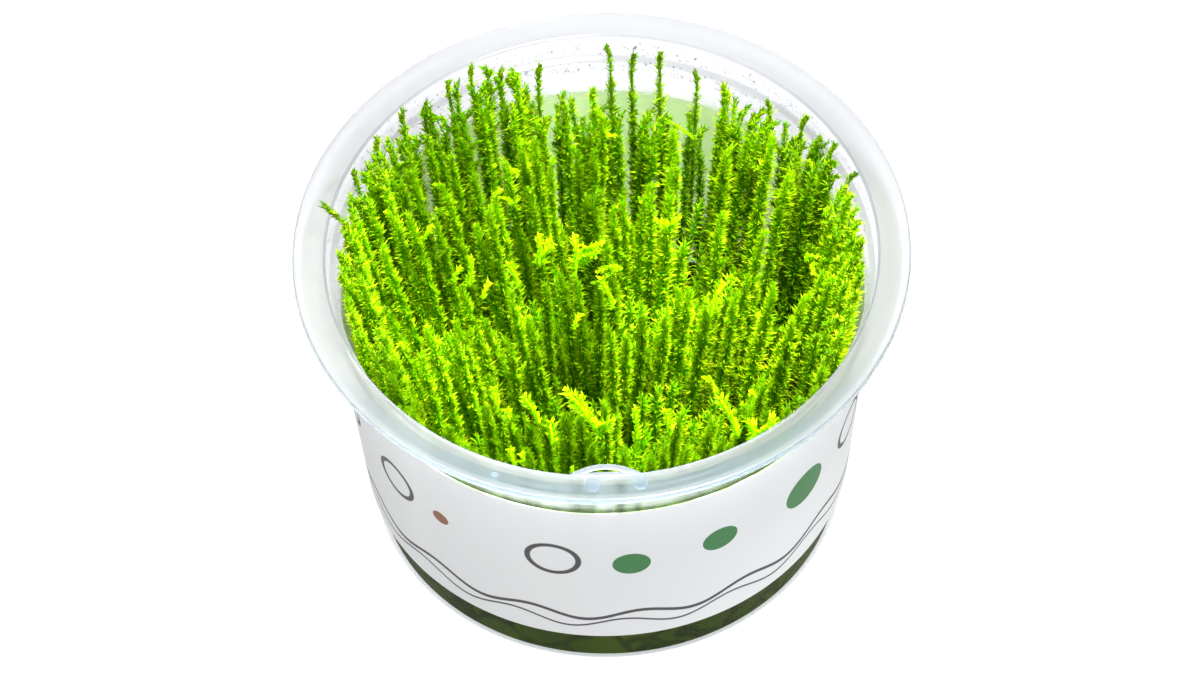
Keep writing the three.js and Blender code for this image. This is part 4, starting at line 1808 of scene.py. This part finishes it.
    def _plant_side_shoot(
        self, sheaf: Sheaf, parent: ShootPath, width: float, tint: float,
        pattern: list[LeafGroup], bud: float,
    ) -> None:
        """Plant a short side shoot near its parent's tip."""
        rng = self.rng
        share, line, _, _ = parent.sample()
        length = float(rng.uniform(*self.side_lengths))
        below = float(rng.uniform(*self.side_places)) + 0.6 * length
        at = 1 - below / float(np.linalg.norm(line[-1] - line[0]))
        root = [float(np.interp(at, share, line[:, axis])) for axis in range(3)]
        heading = float(rng.uniform(0, ANY_TURN))
        out = 0.55 * length
        x, y = self.within_wall(
            root[0] + out * math.cos(heading), root[1] + out * math.sin(heading), root[2] + length
        )
        path = ShootPath(tuple(root), (x, y, root[2] + 0.85 * length), heading=heading, hook=0.6)
        sheaf.add(pattern, path, 0.8 * width, tint, float(rng.uniform(0, ANY_TURN)), bud=bud)


@dataclass
class TallShoots:
    """The tall single shoots between the stand and the wall, at the back and the sides."""

    count: int = 18
    root_height: float = 9.8
    # Height from which they may lean out over the rim
    mouth_height: float = 54.0
    root_distance: float = 34.9
    mouth_distance: float = 39.9
    # Width as a share of the pattern's, greatest dullness, and radius of the stem
    widths: Span = (0.9, 1.15)
    dullest: float = 0.8
    stem_radius: float = 0.33
    # Sway, and how far and over which length the tip is bent
    sway: float = 0.3
    hooks: Span = (0.3, 1.5)
    hook_length: float = 2.6
    seed: int = 23

    def build(self, nodes: dict[str, Object], finish: Material) -> Object:
        """Grow the shoots to the tips of their CAD nodes, as one piece."""
        rng = np.random.default_rng(self.seed)
        form = ShootForm(TALL_ROWS, bud_length=1.1, bud_reach=0.7, unevenness=0.3)
        sheaf = Sheaf(stem_sides=6, stem_rings=14)
        for number in range(1, self.count + 1):
            vertices = nodes[shoot_name(number)].data.vertices
            tip = max((vertex.co for vertex in vertices), key=lambda place: place.z) / MM
            path = self._path(tip, rng)
            leaves = form.grow(rng)
            width, tint = float(rng.uniform(*self.widths)), float(rng.uniform(0, self.dullest))
            turn = float(rng.uniform(0, ANY_TURN))
            sheaf.add(leaves, path, width, tint, turn, stem_radius=self.stem_radius, bud=1.0)
        return sheaf.finish("moss_tall_shoots", finish)

    def _path(self, tip: Vector, rng: Random) -> ShootPath:
        """Give a shoot's line beside the wall and out to its tip."""
        bearing = math.atan2(tip.y, tip.x)
        outwards = np.array([math.cos(bearing), math.sin(bearing), 0.0])
        reach = math.hypot(tip.x, tip.y)
        slope = (self.mouth_distance - self.root_distance) / (self.mouth_height - self.root_height)

        def straight(height: Array | float) -> Array | float:
            """Give the distance from the axis beside the wall at a height."""
            return self.root_distance + slope * (height - self.root_height)

        def bow(share: Array) -> Array:
            """Give how far the line stands off the straight line from root to tip."""
            height = self.root_height + share * (tip.z - self.root_height)
            rise = np.clip((height - self.mouth_height) / (tip.z - self.mouth_height), 0, 1)
            wanted = straight(height) + (reach - straight(tip.z)) * rise ** 2
            even = self.root_distance + share * (reach - self.root_distance)
            return (wanted - even)[:, None] * outwards

        root = tuple(outwards * self.root_distance + np.array([0, 0, self.root_height]))
        return ShootPath(
            root, tuple(tip), sway=float(rng.normal(0, self.sway)),
            hook=float(rng.uniform(*self.hooks)), hook_length=self.hook_length,
            heading=bearing + math.pi / 2 * float(rng.choice([-1, 1])), bow=bow,
        )


# The young shoots that stand out in the crown
SPRIGS = (
    Sprig((-23.0, 2.5, 47.0), 40.0, 78.0, 90.0, 3.6, 0.95),
    Sprig((-20.5, 1.5, 47.0), 70.0, 78.0, 15.0, 6.2, 0.9),
    Sprig((-18.5, -1.0, 47.0), 55.0, 78.0, 95.0, 3.7, 0.95),
    Sprig((-9.7, 5.0, 47.0), 20.0, 78.0, 40.0, 6.6, 1.5, 20.0),
    Sprig((-9.7, 4.5, 48.0), 80.0, 78.0, 20.0, 6.1, 1.1),
    Sprig((-4.0, 4.0, 47.0), 90.0, 78.0, 20.0, 7.0, 1.3, -20.0),
    Sprig((-3.4, 5.0, 48.0), 345.0, 76.0, 60.0, 7.5, 1.35),
    Sprig((-3.0, 4.4, 48.0), 325.0, 75.0, 50.0, 6.5, 1.2, 30.0),
    Sprig((1.5, -3.7, 47.0), 134.0, 78.0, 40.0, 6.9, 1.1),
    Sprig((-13.0, 1.0, 47.0), 136.0, 78.0, 30.0, 5.6, 0.9),
    Sprig((-4.7, -7.0, 46.5), 50.0, 78.0, 110.0, 3.6, 0.95),
    Sprig((-12.4, -7.7, 46.5), 92.0, 78.0, 30.0, 3.8, 0.95),
    Sprig((10.5, 10.5, 47.5), 215.0, 78.0, 50.0, 5.9, 1.1),
    Sprig((10.5, 10.5, 47.5), 355.0, 78.0, 50.0, 4.5, 1.1),
    Sprig((16.5, -6.3, 47.0), 60.0, 78.0, 95.0, 7.3, 1.05),
    Sprig((-16.8, -21.5, 45.0), 100.0, 78.0, 30.0, 5.2, 1.1),
    Sprig((-14.3, -25.5, 45.0), 127.0, 78.0, 30.0, 5.4, 1.2),
    Sprig((-10.4, -24.0, 45.0), 156.0, 78.0, 30.0, 7.4, 1.2),
    Sprig((-8.3, -27.7, 44.5), 107.0, 78.0, 30.0, 5.6, 1.4, 30.0),
    Sprig((-1.0, -26.6, 45.0), 156.0, 67.0, 30.0, 11.3, 1.7, 20.0),
    Sprig((-3.9, -23.4, 47.5), 74.0, 78.0, 40.0, 3.4, 1.0),
    Sprig((-1.2, -26.6, 45.0), 325.0, 78.0, 30.0, 7.0, 1.3),
    Sprig((4.5, -27.2, 44.5), 90.0, 78.0, 20.0, 6.6, 1.1),
    Sprig((9.5, -27.0, 45.0), 100.0, 78.0, 20.0, 5.7, 1.4, -20.0),
    Sprig((20.0, -28.4, 46.0), 145.0, 75.0, 25.0, 9.6, 1.4),
    Sprig((22.5, -28.0, 46.0), 170.0, 78.0, 30.0, 5.1, 1.8, 40.0),
    Sprig((21.4, -29.0, 46.0), 350.0, 47.0, -30.0, 8.5, 1.6, 30.0),
    Sprig((-14.3, -31.0, 44.0), 134.0, 78.0, 20.0, 4.2, 1.1),
    Sprig((-12.2, -32.0, 44.0), 145.0, 78.0, 20.0, 4.2, 1.1),
)


@dataclass
class YoungShoots:
    """Bright young shoots with comb-like leaves, curled over in the stand's crown."""

    stand: MossStand
    sprigs: tuple[Sprig, ...] = SPRIGS
    scattered: int = 16
    reach: float = 33.0
    # Depth of the others under the crown, then their rise, curl, length, width and roll
    depths: Span = (1.0, 8.0)
    ranges: tuple[Span, ...] = (
        (50.0, 85.0), (20.0, 130.0), (3.5, 6.5), (0.6, 0.9), (-40.0, 40.0),
    )
    seed: int = 31

    def build(self, finish: Material) -> Object:
        """Grow the placed and the scattered young shoots."""
        rng = np.random.default_rng(self.seed)
        form = ShootForm(YOUNG_ROWS, bud_length=1.6, bud_reach=0.7, unevenness=0.2)
        patterns = [form.grow(rng) for _ in range(5)]
        sheaf = Sheaf()
        for sprig in (*self.sprigs, *self._scatter(rng)):
            pattern = patterns[int(rng.integers(len(patterns)))]
            tint = float(rng.uniform(0, 0.5))
            sheaf.add(pattern, sprig, sprig.width, tint, 0.0, stem_radius=0.3)
        return sheaf.finish("moss_young_shoots", finish)

    def _scatter(self, rng: Random) -> list[Sprig]:
        """Give young shoots spread over the whole crown."""
        sprigs = []
        for _ in range(self.scattered):
            distance = self.reach * math.sqrt(rng.uniform())
            bearing = rng.uniform(0, 2 * math.pi)
            x, y = distance * math.cos(bearing), distance * math.sin(bearing)
            height = self.stand.crown_height(x, y) - rng.uniform(*self.depths)
            factor = self.stand.widening(height)
            heading = math.degrees(rng.uniform(0, ANY_TURN))
            values = [float(rng.uniform(*span)) for span in self.ranges]
            sprigs.append(Sprig((x * factor, y * factor, height), heading, *values))
        return sprigs


# Studio


@dataclass(frozen=True)
class PhotoCamera:
    """A long lens that looks down at the cup from the front, turned a little about its axis."""

    # Angle above the floor in degrees, distance in millimetres and turn of the picture in radians
    elevation: float = 53.3
    distance: float = 2000.0
    roll: float = -0.032
    # Focal length and width of the sensor in millimetres
    lens: float = 382.2
    sensor: float = 36.0
    # Size of the photograph in pixels, and the pixel of the cup's base centre in it
    picture: tuple[int, int] = (1200, 675)
    base_at: Span = (608.56, 472.2)

    def build(self) -> Object:
        """Make the camera and make it the scene's."""
        angle = math.radians(self.elevation)
        ahead = Vector((0, math.cos(angle), -math.sin(angle)))
        level, up = Vector((1, 0, 0)), Vector((0, math.sin(angle), math.cos(angle)))
        cos, sin = math.cos(self.roll), math.sin(self.roll)
        right, top = cos * level + sin * up, cos * up - sin * level
        pixel = self.sensor / self.picture[0] / self.lens * self.distance
        across = (self.picture[0] / 2 - self.base_at[0]) * pixel
        below = (self.base_at[1] - self.picture[1] / 2) * pixel
        place = -ahead * self.distance
        aim = (across * right + below * top - place).normalized()
        right = (right - aim * right.dot(aim)).normalized()
        top = right.cross(aim)
        data = bpy.data.cameras.new("photo_camera")
        data.lens, data.sensor_width = self.lens, self.sensor
        data.clip_start, data.clip_end = 0.05, 20.0
        camera = bpy.data.objects.new("photo_camera", data)
        turn = Matrix((right, top, -aim)).transposed().to_4x4()
        camera.matrix_world = Matrix.Translation(place * MM) @ turn
        bpy.context.scene.collection.objects.link(camera)
        bpy.context.scene.camera = camera
        return camera


@dataclass(frozen=True)
class SoftBox:
    """A large square lamp aimed at the cup, with its sizes in metres and its power in watts."""

    name: str
    place: Point
    size: float
    power: float
    aim: Point = (0.0, 0.0, 0.03)

    def build(self) -> Object:
        """Make the lamp."""
        data = bpy.data.lights.new(self.name, "AREA")
        data.shape, data.size = "SQUARE", self.size
        data.energy = self.power
        lamp = bpy.data.objects.new(self.name, data)
        turn = (Vector(self.aim) - Vector(self.place)).to_track_quat("-Z", "Y")
        lamp.matrix_world = Matrix.Translation(self.place) @ turn.to_matrix().to_4x4()
        bpy.context.scene.collection.objects.link(lamp)
        return lamp


@dataclass
class Studio:
    """A plain white floor under soft light from all sides, with a key light from above."""

    # Side of the floor in metres, and how far it lies under the cup in millimetres
    floor_size: float = 6.0
    floor_drop: float = 0.02
    floor_glow: float = 1.0
    sky: float = 0.55
    lamps: tuple[SoftBox, ...] = (
        SoftBox("key_softbox", (0.2, -0.15, 1.2), 0.28, 72.0),
        SoftBox("back_softbox", (0.1, 1.3, 0.55), 0.8, 32.0),
        SoftBox("front_softbox", (-0.1, -1.4, 0.4), 0.8, 5.0),
    )

    def build(self) -> None:
        """Make the floor, the lamps, the sky light and the camera."""
        bm = bmesh.new()
        bmesh.ops.create_grid(bm, x_segments=1, y_segments=1, size=self.floor_size / 2 / MM)
        bmesh.ops.translate(bm, verts=bm.verts, vec=(0, 0, -self.floor_drop))
        floor = finished_object("studio_floor", bm, self._floor_finish(), None)
        for lamp in self.lamps:
            lamp.build()
        world = bpy.data.worlds.new("soft_white_sky")
        world.use_nodes = True
        background = world.node_tree.nodes["Background"]
        background.inputs["Color"].default_value = linear("#ffffff")
        background.inputs["Strength"].default_value = self.sky
        bpy.context.scene.world = world
        PhotoCamera().build()
        view = bpy.context.scene.view_settings
        view.view_transform = "Standard"

    def _floor_finish(self) -> Material:
        """Make the floor's matt white, lit from below as a light table is."""
        material, tree = new_material("studio_floor_white_acrylic")
        floor = add_node(
            tree, "ShaderNodeBsdfPrincipled", {}, {
                "Base Color": linear("#2c2c2c"), "Roughness": 0.9,
                "Emission Color": linear("#ffffff"), "Emission Strength": self.floor_glow,
            },
        )
        return with_surface(material, floor)


def main() -> None:
    """Build the pieces in order, set up the studio and report."""
    logging.basicConfig(level=logging.INFO, format="%(message)s")
    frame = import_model()
    nodes = frame["nodes"]
    wall = Wall()
    cup = Cup(wall)
    hand_over(cup.build(ClearPolypropylene().build()), ["cup"])
    milky = ClearPolypropylene(
        name="milky_polypropylene_lip", rim_open=0.05, rim_haze=0.9, painted_rim_front_shade=0.0,
        painted_shoulder_shade=0.0, painted_back_shade=0.0, painted_back_wall_shade=0.0, white_share=0.05,
        line="#d9dce2", haze="#d9dce2",
    )
    hand_over(cup.build_lip(milky.build()))
    pale = replace(milky, name="pale_polypropylene_nubs", haze="#d0dbe1", rim_open=0.35)
    hand_over(cup.build_nubs(pale.build()))
    hand_over(Condensation(cup).build(CondensedWater().build()))
    hand_over(Label(wall).build(PrintedFilm().build()), ["label"])
    hand_over(GrowthGel(wall).build(OliveAgar().build()), ["growth_gel"])
    stand = MossStand(wall)
    for part, piece in stand.build(nodes, MossTone.MATURE.value.build()).items():
        hand_over(piece, [tuft_name(number) for number in part.tufts])
    tall = TallShoots()
    piece = tall.build(nodes, MossTone.TALL.value.build())
    hand_over(piece, [shoot_name(number) for number in range(1, tall.count + 1)])
    hand_over(YoungShoots(stand).build(MossTone.YOUNG.value.build()))
    Studio().build()


if __name__ == "__main__":
    main()
